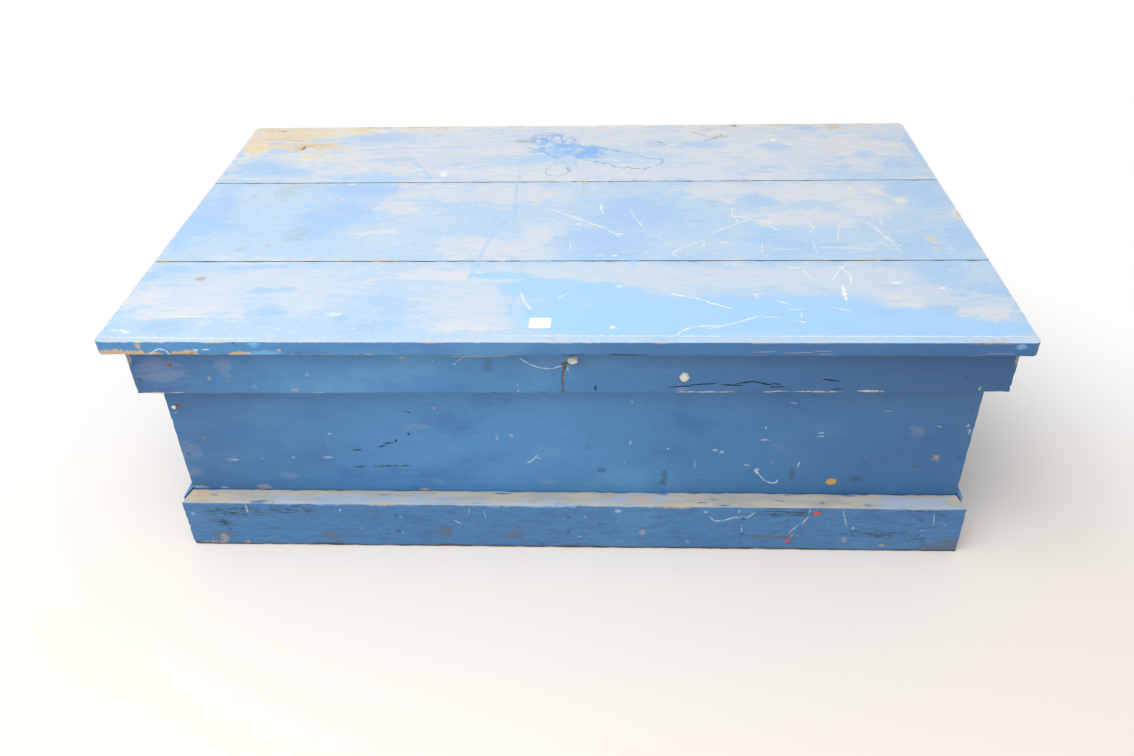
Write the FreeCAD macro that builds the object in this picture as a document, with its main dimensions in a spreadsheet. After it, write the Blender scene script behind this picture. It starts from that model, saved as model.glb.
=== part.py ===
import FreeCAD, Part
import os

import Sketcher
from FreeCAD import Placement, Rotation, Vector

# A nailed pine sea chest with a skirted lid, in millimetres.
# The origin is on the floor under the middle of the carcase.
# +X is the chest's right seen from the front, +Y goes to the back, +Z is up.

SIZES = [
    # the boarded lid
    ("lid_length", 1000, "lid boards, left to right"),
    ("lid_thickness", 17, "lid boards"),
    ("lid_front_width", 177, "front lid board, front to back"),
    ("lid_middle_width", 225, "middle lid board, front to back"),
    ("lid_back_width", 207, "back lid board, front to back"),
    ("lid_seam", 1, "open seam between two lid boards"),
    ("lid_shift", 5, "how far left of the carcase's middle the boards were nailed"),
    ("lid_overhang", 14.5, "lid front edge beyond the skirt"),
    ("lid_arris", 2.5, "rounding of the lid's worn front top edge"),
    ("lid_corner", 7, "rounding of the lid's corners in plan"),
    # the skirt under the lid
    ("skirt_thickness", 17, "skirt boards"),
    ("skirt_left_height", 63.5, "left skirt board, and the front one at its left end"),
    ("skirt_right_height", 57, "right skirt board, and the front one at its right end"),
    ("skirt_gap", 1.5, "play between the skirt and the carcase"),
    ("skirt_arris", 2, "rounding of the skirt's worn lower outer edge"),
    # the carcase
    ("carcase_length", 930, "outside, left to right"),
    ("carcase_depth", 578, "outside, front to back"),
    ("board", 18, "front, back and end boards"),
    ("rim_height", 292, "top of the carcase above the floor"),
    ("bottom_thickness", 18, "bottom boards"),
    ("bottom_gap", 1, "open seam between two bottom boards"),
    ("runner_height", 19, "runners under the bottom"),
    ("runner_width", 60, "runners, left to right"),
    ("runner_offset", 380, "outer runners from the middle one"),
    # the plinth
    ("plinth_height", 70, "all three plinth boards"),
    ("plinth_front", 26, "thickness of the front plinth board"),
    ("plinth_side", 6, "thickness of the slips on the ends"),
    ("mitre_gap", 1.5, "how far the plinth's mitres have opened"),
    ("left_tip", 16, "what is left of the left slip's mitre point"),
    ("right_tip", 5, "what is left of the right slip's mitre point"),
    # battens inside the lid
    ("batten_width", 45, "battens, left to right"),
    ("batten_thickness", 20, "battens"),
    ("batten_length", 500, "battens, front to back"),
    ("batten_offset", 290, "outer battens from the middle one"),
    # the two stopped butt hinges
    ("hinge_length", 76, "leaves, left to right"),
    ("hinge_offset", 300, "each hinge from the middle"),
    ("hinge_leaf", 2.2, "thickness of the leaves"),
    ("hinge_back_height", 34, "leaf on the back board, below the axis"),
    ("hinge_lid_height", 15.5, "leaf on the lid's back edge, above the axis"),
    ("knuckle_radius", 4.4, "outside of the rolled knuckles"),
    ("knuckle_play", 0.4, "end play between two knuckles"),
    ("leaf_clear", 0.6, "how far a leaf is cut back round the other's knuckles"),
    ("hinge_pin_radius", 2.2, "hinge pin"),
    ("hinge_pin_play", 0.06, "running fit between the pin and the knuckles"),
    ("stop_reach", 8.4, "stop nib of the lid leaf, from the axis"),
    ("stop_low", 0.2, "underside of the stop nib below the axis"),
    ("stop_thickness", 3, "stop nib"),
    # the drop handles
    ("handle_height", 176, "handle axis above the floor"),
    ("plate_length", 124, "handle plate, front to back"),
    ("plate_height", 46, "handle plate"),
    ("plate_thickness", 3, "handle plate"),
    ("plate_corner", 6, "rounding of the handle plate's corners"),
    ("axis_out", 9, "handle axis out from the plate's face"),
    ("eye_spacing", 92, "between the middles of the two eyes"),
    ("eye_width", 7, "eye, along the handle's axis"),
    ("eye_radius", 8, "outside of the eye"),
    ("bar_radius", 4, "bail rod"),
    ("bar_play", 0.08, "running fit between the rod and the eyes"),
    ("bar_end", 52, "end of the rod from the middle of the handle"),
    ("arm_out", 34, "bail's arms from the middle of the handle"),
    ("bail_drop", 44, "grip below the axis"),
    ("turn_bend", 7.5, "bend where the rod turns down"),
    ("grip_bend", 13, "bend between an arm and the grip"),
    # fasteners
    ("nail_shank", 1.3, "radius"),
    ("nail_head", 2.6, "radius"),
    ("nail_cap", 1, "thickness of the nail head"),
    ("nail_proud", 0.15, "nail head above the board"),
    ("nail_length", 48, "nails"),
    ("brad_length", 30, "shorter nails in the thin boards"),
    ("plinth_nail_length", 40, "nails of the front plinth board and the skirt's corners"),
    ("slip_nail_length", 22, "nails of the slips on the ends"),
    ("screw_shank", 1.8, "radius"),
    ("screw_head", 3.8, "radius of the countersunk head"),
    ("screw_sink", 2, "depth of the countersunk head"),
    ("screw_length", 14, "screws of the hinges and handles"),
    ("batten_screw_length", 30, "screws through the battens into the lid"),
    ("screw_play", 0.1, "round the screw in its hole"),
    # where the fasteners go
    ("corner_inset", 8, "carcase corner nails from the end of the board"),
    ("corner_low", 18, "lowest corner nail above the bottom boards"),
    ("corner_high", 25, "highest corner nail below the rim"),
    ("bottom_long_start", 130, "first nail up into the front and back boards, from the corner"),
    ("bottom_short_start", 60, "first nail up into the end boards, from the corner"),
    ("runner_start", 45, "first runner nail from the runner's end"),
    ("runner_stagger", 15, "runner nails off the middle of the runner"),
    ("plinth_start", 45, "first plinth nail from the carcase corner"),
    ("plinth_low", 27, "lower row of plinth nails above the floor"),
    ("plinth_high", 52, "upper row of plinth nails above the floor"),
    ("slip_start", 50, "first slip nail from the carcase corner"),
    ("slip_height", 54, "slip nails above the floor"),
    ("lid_nail_start", 60, "first lid nail from the skirt's corner"),
    ("lid_side_start", 30, "first lid nail along an end, from the carcase corner"),
    ("lid_nail_set", 1.5, "how deep the lid nails are punched; their holes are filled"),
    ("skirt_nail_low", 44, "lower skirt corner nail below the lid"),
    ("skirt_nail_high", 20, "upper skirt corner nail below the lid"),
    ("batten_stagger", 9, "batten screws off the middle of the batten"),
    ("hinge_screw_step", 27, "between two screws of a leaf"),
    ("back_screw_drop", 22, "screws of the back leaf below the axis"),
    ("lid_screw_rise", 9.6, "screws of the lid leaf above the axis"),
    ("plate_screw_out", 55, "handle plate screws from the middle, front to back"),
    ("plate_screw_up", 15, "handle plate screws from the middle, up and down"),
    # the paper label
    ("label_length", 24, "left to right"),
    ("label_depth", 21, "front to back"),
    ("label_thickness", 0.3, "paper and paste"),
    ("label_x", -26, "middle of the label, from the chest's middle"),
    ("label_y", -284, "middle of the label, from the chest's middle"),
]

doc = FreeCAD.newDocument("SeaChest")
sheet = doc.addObject("Spreadsheet::Sheet", "sizes")
for row, (alias, value, meaning) in enumerate(SIZES, start=1):
    sheet.set(f"A{row}", alias.replace("_", " "))
    sheet.set(f"B{row}", str(value))
    sheet.setAlias(f"B{row}", alias)
    sheet.set(f"C{row}", meaning)
doc.recompute()

X_AXIS = Vector(1, 0, 0)
Y_AXIS = Vector(0, 1, 0)
Z_AXIS = Vector(0, 0, 1)
SIDES = (("left", -1), ("right", 1))
THREE_ACROSS = (("left", -1), ("middle", 0), ("right", 1))
OVERSHOOT = 1  # a cutter runs this far past the face it opens
NEAR = 0.1  # two places this close count as the same

# Places that several pieces share, written for the sheet.
HALF_LENGTH = "sizes.carcase_length / 2"
HALF_DEPTH = "sizes.carcase_depth / 2"
SKIRT_FRONT = f"-({HALF_DEPTH} + sizes.skirt_gap + sizes.skirt_thickness)"
SKIRT_END = f"({HALF_LENGTH} + sizes.skirt_gap + sizes.skirt_thickness)"
LID_FRONT = f"({SKIRT_FRONT} - sizes.lid_overhang)"
BOTTOM_TOP = "(sizes.runner_height + sizes.bottom_thickness)"
WALL_HEIGHT = f"(sizes.rim_height - {BOTTOM_TOP})"

nodes = []


def size(alias):
    """A driving size of the sheet, as a plain number."""
    return float(sheet.get(alias))


def worked_out(expression):
    """The value of an expression on the sheet, as a plain number."""
    value = sheet.evalExpression(expression.replace("sizes.", ""))
    return float(getattr(value, "Value", value))


def keep(piece):
    """Marks a document object as one of the chest's own pieces."""
    nodes.append(piece)
    return piece


def bind(piece, **expressions):
    """Binds properties of a document object to the sheet."""
    for name, expression in expressions.items():
        path = {"x": "Placement.Base.x", "y": "Placement.Base.y", "z": "Placement.Base.z"}.get(name, name)
        piece.setExpression(path, expression)
    return piece


def box(name, length, depth, height, x, y, z):
    """A plain board: length along X, depth along Y, height along Z."""
    piece = doc.addObject("Part::Box", name)
    return bind(piece, Length=length, Width=depth, Height=height, x=x, y=y, z=z)


def cylinder(name, radius, length, along, x, y, z):
    piece = doc.addObject("Part::Cylinder", name)
    piece.Placement = Placement(Vector(), Rotation(Z_AXIS, along))
    return bind(piece, Radius=radius, Height=length, x=x, y=y, z=z)


def cone(name, radius, end_radius, length, along, x, y, z):
    piece = doc.addObject("Part::Cone", name)
    piece.Placement = Placement(Vector(), Rotation(Z_AXIS, along))
    return bind(piece, Radius1=radius, Radius2=end_radius, Height=length, x=x, y=y, z=z)


def fuse(name, pieces):
    joined = doc.addObject("Part::MultiFuse", name)
    joined.Shapes = pieces
    joined.Refine = True
    return joined


def cut(name, base, tools):
    tool = tools[0]
    if len(tools) > 1:
        tool = fuse(name + "_cutters", tools)
    piece = doc.addObject("Part::Cut", name)
    piece.Base = base
    piece.Tool = tool
    return piece


def runs_along(line, axis):
    return abs(line.dot(axis)) > 0.9


def rounded(name, base, choices):
    """Rounds the edges of base: choices is a list of (radius, test on the edge's middle and line)."""
    doc.recompute()
    picked = []
    for number, edge in enumerate(base.Shape.Edges, start=1):
        middle = edge.CenterOfMass
        line = edge.Vertexes[-1].Point - edge.Vertexes[0].Point
        line.normalize()
        for radius, test in choices:
            if test(middle, line):
                picked.append((number, radius, radius))
    piece = doc.addObject("Part::Fillet", name)
    piece.Base = base
    piece.Edges = picked
    return piece


# ---- lid boards: three wide planks laid lengthwise, nailed down on the skirt ----

def lid_board(name, width, y, is_front, is_back):
    blank = box(name + "_blank", "sizes.lid_length", width, "sizes.lid_thickness",
                "-sizes.lid_length / 2 - sizes.lid_shift", y, "sizes.rim_height")
    if not (is_front or is_back):
        blank.Label = name
        return keep(blank)
    doc.recompute()
    bounds = blank.Shape.BoundBox
    outer = bounds.YMin if is_front else bounds.YMax

    def is_corner(middle, line):
        return runs_along(line, Z_AXIS) and abs(middle.y - outer) < NEAR

    def is_front_arris(middle, line):
        is_top_front = middle.z > bounds.Center.z and abs(middle.y - outer) < NEAR
        return is_front and is_top_front and runs_along(line, X_AXIS)

    choices = [(size("lid_corner"), is_corner), (size("lid_arris"), is_front_arris)]
    return keep(rounded(name, blank, choices))


middle_y = f"({LID_FRONT} + sizes.lid_front_width + sizes.lid_seam)"
back_y = f"({middle_y} + sizes.lid_middle_width + sizes.lid_seam)"
lid_board("lid_board_front", "sizes.lid_front_width", LID_FRONT, True, False)
lid_board("lid_board_middle", "sizes.lid_middle_width", middle_y, False, False)
lid_board("lid_board_back", "sizes.lid_back_width", back_y, False, True)


# ---- skirt: three boards on edge under the lid, lapping over the carcase ----

def worn_skirt(name, blank, is_outer_edge):
    """Rounds the lower outer edge of a skirt board."""
    doc.recompute()
    bounds = blank.Shape.BoundBox

    def is_worn(middle, line):
        return middle.z < bounds.Center.z and is_outer_edge(middle, line, bounds)

    return keep(rounded(name, blank, [(size("skirt_arris"), is_worn)]))


def front_edge(middle, line, bounds):
    return runs_along(line, X_AXIS) and middle.y < bounds.Center.y


def left_edge(middle, line, bounds):
    return runs_along(line, Y_AXIS) and middle.x < bounds.Center.x


def right_edge(middle, line, bounds):
    return runs_along(line, Y_AXIS) and middle.x > bounds.Center.x


side_y = f"({SKIRT_FRONT} + sizes.skirt_thickness)"
side_depth = f"{HALF_DEPTH} - {side_y}"

# The front board tapers from left to right. The wedge is drawn along Y and turned to lie along X.
front_blank = doc.addObject("Part::Wedge", "lid_skirt_front_blank")
front_blank.Placement = Placement(Vector(), Rotation(Z_AXIS, -90))
bind(front_blank, Xmin="0", Xmax="sizes.skirt_thickness", X2min="0", X2max="sizes.skirt_thickness",
     Ymin="0", Ymax=f"2 * {SKIRT_END}", Zmin="0", Zmax="sizes.skirt_left_height",
     Z2min="sizes.skirt_left_height - sizes.skirt_right_height", Z2max="sizes.skirt_left_height",
     x=f"-{SKIRT_END}", y=side_y, z="sizes.rim_height - sizes.skirt_left_height")
worn_skirt("lid_skirt_front", front_blank, front_edge)

for side, x, is_outer_edge in (("left", f"-{SKIRT_END}", left_edge),
                               ("right", f"{SKIRT_END} - sizes.skirt_thickness", right_edge)):
    height = f"sizes.skirt_{side}_height"
    side_blank = box(f"lid_skirt_{side}_blank", "sizes.skirt_thickness", side_depth, height,
                     x, side_y, f"sizes.rim_height - {height}")
    worn_skirt(f"lid_skirt_{side}", side_blank, is_outer_edge)


# ---- battens: three cross bars inside the lid that hold its boards together ----

for side, factor in THREE_ACROSS:
    keep(box(f"lid_batten_{side}", "sizes.batten_width", "sizes.batten_length", "sizes.batten_thickness",
             f"{factor} * sizes.batten_offset - sizes.batten_width / 2", "-sizes.batten_length / 2",
             "sizes.rim_height - sizes.batten_thickness"))


# ---- carcase: front and back planks nailed over the ends of the two end planks ----

keep(box("front_board", "sizes.carcase_length", "sizes.board", WALL_HEIGHT,
         f"-{HALF_LENGTH}", f"-{HALF_DEPTH}", BOTTOM_TOP))
keep(box("back_board", "sizes.carcase_length", "sizes.board", WALL_HEIGHT,
         f"-{HALF_LENGTH}", f"{HALF_DEPTH} - sizes.board", BOTTOM_TOP))
for side, x in (("left", f"-{HALF_LENGTH}"), ("right", f"{HALF_LENGTH} - sizes.board")):
    keep(box(f"{side}_end_board", "sizes.board", "sizes.carcase_depth - 2 * sizes.board", WALL_HEIGHT,
             x, f"-{HALF_DEPTH} + sizes.board", BOTTOM_TOP))


# ---- bottom: three planks nailed up to the carcase, on three runners ----

bottom_width = "((sizes.carcase_depth - 2 * sizes.bottom_gap) / 3)"
for place, name in enumerate(("bottom_board_front", "bottom_board_middle", "bottom_board_back")):
    keep(box(name, "sizes.carcase_length", bottom_width, "sizes.bottom_thickness",
             f"-{HALF_LENGTH}", f"-{HALF_DEPTH} + {place} * ({bottom_width} + sizes.bottom_gap)",
             "sizes.runner_height"))
for side, factor in THREE_ACROSS:
    keep(box(f"{side}_runner", "sizes.runner_width", "sizes.carcase_depth", "sizes.runner_height",
             f"{factor} * sizes.runner_offset - sizes.runner_width / 2", f"-{HALF_DEPTH}", "0"))


# ---- plinth: a thick front board with mitred ends, and a thin slip on each end ----

def padded_outline(name, points, height):
    """A body padded up from a closed outline on its XY plane. A point is a pair of expressions."""
    body = doc.addObject("PartDesign::Body", name)
    sketch = body.newObject("Sketcher::SketchObject", name + "_outline")
    plane = [part for part in body.Origin.OriginFeatures if part.Role == "XY_Plane"][0]
    sketch.AttachmentSupport = [(plane, "")]
    sketch.MapMode = "FlatFace"
    corners = [Vector(worked_out(x), worked_out(y), 0) for x, y in points]
    count = len(corners)
    for place, corner in enumerate(corners):
        sketch.addGeometry(Part.LineSegment(corner, corners[(place + 1) % count]))
    for place in range(count):
        sketch.addConstraint(Sketcher.Constraint("Coincident", place, 2, (place + 1) % count, 1))
    for place, (x, y) in enumerate(points):
        across = sketch.addConstraint(Sketcher.Constraint("DistanceX", place, 1, corners[place].x))
        along = sketch.addConstraint(Sketcher.Constraint("DistanceY", place, 1, corners[place].y))
        sketch.setExpression(f"Constraints[{across}]", x)
        sketch.setExpression(f"Constraints[{along}]", y)
    pad = body.newObject("PartDesign::Pad", name + "_pad")
    pad.Profile = sketch
    pad.setExpression("Length", height)
    return body


PLINTH_FRONT = f"(-{HALF_DEPTH} - sizes.plinth_front)"
PLINTH_END = f"({HALF_LENGTH} + sizes.plinth_side)"
front_outline = [(f"-{PLINTH_END}", PLINTH_FRONT), (PLINTH_END, PLINTH_FRONT),
                 (HALF_LENGTH, f"-{HALF_DEPTH}"), (f"-{HALF_LENGTH}", f"-{HALF_DEPTH}")]
keep(padded_outline("plinth_front", front_outline, "sizes.plinth_height"))

# The mitre runs from the carcase corner to the plinth corner, so its slope is that of the
# two thicknesses. A slip's mitre starts one gap behind it and its thin point is broken off.
slope = "(sizes.plinth_front / sizes.plinth_side)"
for side, sign in SIDES:
    tip = f"sizes.{side}_tip"
    mitre_start = f"(-{HALF_DEPTH} + sizes.mitre_gap * {slope})"
    tip_x = f"{sign} * ({HALF_LENGTH} + (({mitre_start} + {HALF_DEPTH} + {tip}) / {slope}))"
    tip_y = f"-{HALF_DEPTH} - {tip}"
    inner_x = f"{sign} * {HALF_LENGTH}"
    outer_x = f"{sign} * {PLINTH_END}"
    slip_outline = [(inner_x, mitre_start), (tip_x, tip_y), (outer_x, tip_y),
                    (outer_x, HALF_DEPTH), (inner_x, HALF_DEPTH)]
    keep(padded_outline(f"plinth_{side}", slip_outline, "sizes.plinth_height"))


# ---- fasteners: each node is a group of separate nails or screws ----

def nail(head_at, inward, length):
    """A wire nail driven flush: head_at is on the board's face."""
    top = head_at - inward * size("nail_proud")
    cap = Part.makeCylinder(size("nail_head"), size("nail_cap"), top, inward)
    shank = Part.makeCylinder(size("nail_shank"), length, top, inward)
    return cap.fuse(shank).removeSplitter()


def screw(head_at, inward, length):
    """A countersunk wood screw: head_at is on the face that its head lies flush with."""
    sink = size("screw_sink")
    head = Part.makeCone(size("screw_head"), size("screw_shank"), sink, head_at, inward)
    shank = Part.makeCylinder(size("screw_shank"), length - sink, head_at + inward * sink, inward)
    return head.fuse(shank).removeSplitter()


def group(name, solids):
    piece = doc.addObject("Part::Feature", name)
    piece.Shape = Part.makeCompound(solids)
    piece.Placement = Placement()
    return keep(piece)


def spread(first, last, count):
    """Evenly spaced values from first to last."""
    return [first + (last - first) * place / (count - 1) for place in range(count)]


half_length = size("carcase_length") / 2
half_depth = size("carcase_depth") / 2
rim = size("rim_height")
lid_top = rim + size("lid_thickness")
skirt_face = half_depth + size("skirt_gap") + size("skirt_thickness")
skirt_middle = skirt_face - size("skirt_thickness") / 2
skirt_end = half_length + size("skirt_gap") + size("skirt_thickness")
skirt_end_middle = skirt_end - size("skirt_thickness") / 2
nail_length = size("nail_length")
brad_length = size("brad_length")
plinth_nail_length = size("plinth_nail_length")
screw_length = size("screw_length")

# The corner nails go through the front and back boards into the ends of the end boards.
corner_x = half_length - size("corner_inset")
corner_heights = spread(worked_out(BOTTOM_TOP) + size("corner_low"), rim - size("corner_high"), 4)
corner_groups = (("front_corner_nails", -half_depth, Y_AXIS), ("back_corner_nails", half_depth, -Y_AXIS))
for name, face_y, inward in corner_groups:
    group(name, [nail(Vector(sign * corner_x, face_y, height), inward, nail_length)
                 for side, sign in SIDES for height in corner_heights])

# The bottom nails go up through the bottom boards into the edges of all four walls.
wall_middle = size("board") / 2
bottom_face = size("runner_height")
long_end = half_length - size("bottom_long_start")
short_end = half_depth - size("bottom_short_start")
bottom_places = [Vector(x, sign * (half_depth - wall_middle), bottom_face)
                 for side, sign in SIDES for x in spread(-long_end, long_end, 6)]
bottom_places += [Vector(sign * (half_length - wall_middle), y, bottom_face)
                  for side, sign in SIDES for y in spread(-short_end, short_end, 6)]
group("bottom_nails", [nail(place, Z_AXIS, nail_length) for place in bottom_places])

# Two nails go through each runner into each bottom board, their heads just inside the runner.
runner_end = half_depth - size("runner_start")
runner_nails = []
for side, factor in THREE_ACROSS:
    stagger = -size("runner_stagger") if side == "right" else size("runner_stagger")
    for y in spread(-runner_end, runner_end, 6):
        place = Vector(factor * size("runner_offset") + stagger, y, size("nail_cap"))
        runner_nails.append(nail(place, Z_AXIS, brad_length))
group("runner_nails", runner_nails)

# Two rows of nails hold the front plinth board, and one row each slip.
plinth_face = half_depth + size("plinth_front")
plinth_end = half_length + size("plinth_side")
row_end = half_length - size("plinth_start")
slip_row_end = half_depth - size("slip_start")
plinth_nails = [nail(Vector(x, -plinth_face, height), Y_AXIS, plinth_nail_length)
                for x in spread(-row_end, row_end, 5) for height in (size("plinth_low"), size("plinth_high"))]
slip_nail_length = size("slip_nail_length")
slip_places = [(sign, Vector(sign * plinth_end, y, size("slip_height")))
               for side, sign in SIDES for y in spread(-slip_row_end, slip_row_end, 4)]
plinth_nails += [nail(place, Vector(-sign, 0, 0), slip_nail_length) for sign, place in slip_places]
group("plinth_nails", plinth_nails)

# The lid nails go down through the boards into the skirt, and are punched and filled.
nail_top = lid_top - size("lid_nail_set")
lid_row_end = skirt_end - size("lid_nail_start")
lid_side_end = half_depth - size("lid_side_start")
lid_places = [Vector(x, -skirt_middle, nail_top) for x in spread(-lid_row_end, lid_row_end, 6)]
lid_places += [Vector(sign * skirt_end_middle, y, nail_top)
               for side, sign in SIDES for y in spread(-lid_side_end, lid_side_end, 8)]
group("lid_nails", [nail(place, -Z_AXIS, nail_length) for place in lid_places])
skirt_heights = (rim - size("skirt_nail_low"), rim - size("skirt_nail_high"))
skirt_places = [Vector(sign * skirt_end_middle, -skirt_face, height)
                for side, sign in SIDES for height in skirt_heights]
group("skirt_corner_nails", [nail(place, Y_AXIS, plinth_nail_length) for place in skirt_places])

# Two screws go up through each batten into each lid board.
batten_face = rim - size("batten_thickness")
batten_half = size("batten_length") / 2
first_seam, second_seam = worked_out(middle_y), worked_out(back_y)
board_spans = ((-batten_half, first_seam), (first_seam, second_seam), (second_seam, batten_half))
screw_ys = [low + (high - low) * share for low, high in board_spans for share in (0.25, 0.75)]
batten_screws = []
for side, factor in THREE_ACROSS:
    for place, y in enumerate(screw_ys):
        stagger = size("batten_stagger") if place % 2 else -size("batten_stagger")
        head_at = Vector(factor * size("batten_offset") + stagger, y, batten_face)
        batten_screws.append(screw(head_at, Z_AXIS, size("batten_screw_length")))
group("batten_screws", batten_screws)


# ---- hinges: two stopped butt hinges, their knuckles behind the joint of lid and back ----

axis_y = f"({HALF_DEPTH} + sizes.knuckle_radius)"
AXIS_Z = "sizes.rim_height"
knuckle = "(sizes.hinge_length / 5)"
BACK_SCREW_Z = "sizes.rim_height - sizes.back_screw_drop"
LID_SCREW_Z = "sizes.rim_height + sizes.lid_screw_rise"
SCREWS_ALONG = (-1, 0, 1)


def knuckles(name, start, places):
    """Knuckle tubes at the given fifths of the hinge, not yet bored."""
    tubes = []
    for place in places:
        outer = place in (0, 4)
        trim = "sizes.knuckle_play / 2" if outer else "sizes.knuckle_play"
        shift = "0" if place == 0 else "sizes.knuckle_play / 2"
        x = f"{start} + {place} * {knuckle} + {shift}"
        tubes.append(cylinder(f"{name}_knuckle_{place}", "sizes.knuckle_radius", f"{knuckle} - {trim}",
                              X_AXIS, x, axis_y, AXIS_Z))
    return tubes


def hinge_bore(name, start):
    return cylinder(name, "sizes.hinge_pin_radius + sizes.hinge_pin_play",
                    f"sizes.hinge_length + 2 * {OVERSHOOT}", X_AXIS, f"{start} - {OVERSHOOT}", axis_y, AXIS_Z)


def leaf_holes(name, centre, z):
    """Countersunk screw holes through a leaf that stands upright against the wood."""
    holes = []
    face = f"{HALF_DEPTH} + sizes.hinge_leaf"
    for place in SCREWS_ALONG:
        x = f"{centre} + {place} * sizes.hinge_screw_step"
        holes.append(cone(f"{name}_sink_{place}", "sizes.screw_head + sizes.screw_play",
                          "sizes.screw_shank + sizes.screw_play", "sizes.screw_sink", -Y_AXIS, x, face, z))
        holes.append(cylinder(f"{name}_hole_{place}", "sizes.screw_shank + sizes.screw_play",
                              f"sizes.hinge_leaf + {OVERSHOOT}", -Y_AXIS, x, face, z))
    return holes


for side, sign in SIDES:
    centre = f"({sign} * sizes.hinge_offset)"
    start = f"({centre} - sizes.hinge_length / 2)"

    # The back leaf carries knuckles 0, 2 and 4 and is cut away round the lid leaf's two.
    back = f"{side}_hinge_back_leaf"
    back_plate = box(f"{back}_plate", "sizes.hinge_length", "sizes.hinge_leaf", "sizes.hinge_back_height",
                     start, HALF_DEPTH, "sizes.rim_height - sizes.hinge_back_height")
    back_cutters = [hinge_bore(f"{back}_bore", start)]
    for place in (1, 3):
        back_cutters.append(cylinder(f"{back}_relief_{place}", "sizes.knuckle_radius + sizes.leaf_clear",
                                     f"{knuckle}", X_AXIS, f"{start} + {place} * {knuckle}", axis_y, AXIS_Z))
    back_cutters += leaf_holes(back, centre, BACK_SCREW_Z)
    keep(cut(back, fuse(f"{back}_whole", [back_plate] + knuckles(back, start, (0, 2, 4))), back_cutters))

    # The lid leaf carries knuckles 1 and 3, each with a nib that meets the back leaf when
    # the lid leans a little past upright.
    lid = f"{side}_hinge_lid_leaf"
    lid_plate = box(f"{lid}_plate", "sizes.hinge_length", "sizes.hinge_leaf", "sizes.hinge_lid_height",
                    start, HALF_DEPTH, "sizes.rim_height")
    nibs = []
    for place in (1, 3):
        nibs.append(box(f"{lid}_nib_{place}", f"{knuckle} - sizes.knuckle_play", "sizes.stop_reach",
                        "sizes.stop_thickness", f"{start} + {place} * {knuckle} + sizes.knuckle_play / 2",
                        axis_y, "sizes.rim_height - sizes.stop_low"))
    lid_cutters = [hinge_bore(f"{lid}_bore", start)]
    for place in (0, 2, 4):
        lid_cutters.append(cylinder(f"{lid}_relief_{place}", "sizes.knuckle_radius + sizes.leaf_clear",
                                    f"{knuckle}", X_AXIS, f"{start} + {place} * {knuckle}", axis_y, AXIS_Z))
    lid_cutters += leaf_holes(lid, centre, LID_SCREW_Z)
    keep(cut(lid, fuse(f"{lid}_whole", [lid_plate] + nibs + knuckles(lid, start, (1, 3))), lid_cutters))

    keep(cylinder(f"{side}_hinge_pin", "sizes.hinge_pin_radius", "sizes.hinge_length", X_AXIS,
                  start, axis_y, AXIS_Z))

hinge_face = half_depth + size("hinge_leaf")
screw_xs = [sign * size("hinge_offset") + place * size("hinge_screw_step")
            for side, sign in SIDES for place in SCREWS_ALONG]
for name, height in (("hinge_back_screws", BACK_SCREW_Z), ("hinge_lid_screws", LID_SCREW_Z)):
    height = worked_out(height)
    group(name, [screw(Vector(x, hinge_face, height), -Y_AXIS, screw_length) for x in screw_xs])


# ---- drop handles: an iron plate with two eyes on each end board, and a bent rod bail ----

PLATE_CORNERS = [(along, up) for along in (-1, 1) for up in (-1, 1)]


def handle_plate(side, sign):
    name = f"{side}_handle_plate"
    outward = Vector(sign, 0, 0)
    face = f"{sign} * ({HALF_LENGTH} + sizes.plate_thickness)"
    axis_x = f"{sign} * ({HALF_LENGTH} + sizes.plate_thickness + sizes.axis_out)"
    plate_x = f"{HALF_LENGTH}" if sign > 0 else face
    blank = box(f"{name}_blank", "sizes.plate_thickness", "sizes.plate_length", "sizes.plate_height",
                plate_x, "-sizes.plate_length / 2", "sizes.handle_height - sizes.plate_height / 2")
    corners = [(size("plate_corner"), lambda middle, line: runs_along(line, X_AXIS))]
    plate = rounded(f"{name}_flat", blank, corners)
    solids = [plate]
    cutters = []
    for place, eye_side in (("front", "-1"), ("back", "1")):
        eye_y = f"{eye_side} * sizes.eye_spacing / 2 - sizes.eye_width / 2"
        solids.append(cylinder(f"{name}_{place}_eye", "sizes.eye_radius", "sizes.eye_width", Y_AXIS,
                               axis_x, eye_y, "sizes.handle_height"))
        shank_x = face if sign > 0 else axis_x
        solids.append(box(f"{name}_{place}_shank", "sizes.axis_out", "sizes.eye_width",
                          "2 * sizes.eye_radius", shank_x, eye_y, "sizes.handle_height - sizes.eye_radius"))
        cutters.append(cylinder(f"{name}_{place}_bore", "sizes.bar_radius + sizes.bar_play",
                                f"sizes.eye_width + 2 * {OVERSHOOT}", Y_AXIS,
                                axis_x, f"{eye_y} - {OVERSHOOT}", "sizes.handle_height"))
    for place, (along, up) in enumerate(PLATE_CORNERS):
        screw_z = f"sizes.handle_height + {up} * sizes.plate_screw_up"
        where = (face, f"{along} * sizes.plate_screw_out", screw_z)
        cutters.append(cone(f"{name}_sink_{place}", "sizes.screw_head + sizes.screw_play",
                            "sizes.screw_shank + sizes.screw_play", "sizes.screw_sink", -outward, *where))
        cutters.append(cylinder(f"{name}_hole_{place}", "sizes.screw_shank + sizes.screw_play",
                                f"sizes.plate_thickness + {OVERSHOOT}", -outward, *where))
    return keep(cut(name, fuse(f"{name}_whole", solids), cutters))


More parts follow.
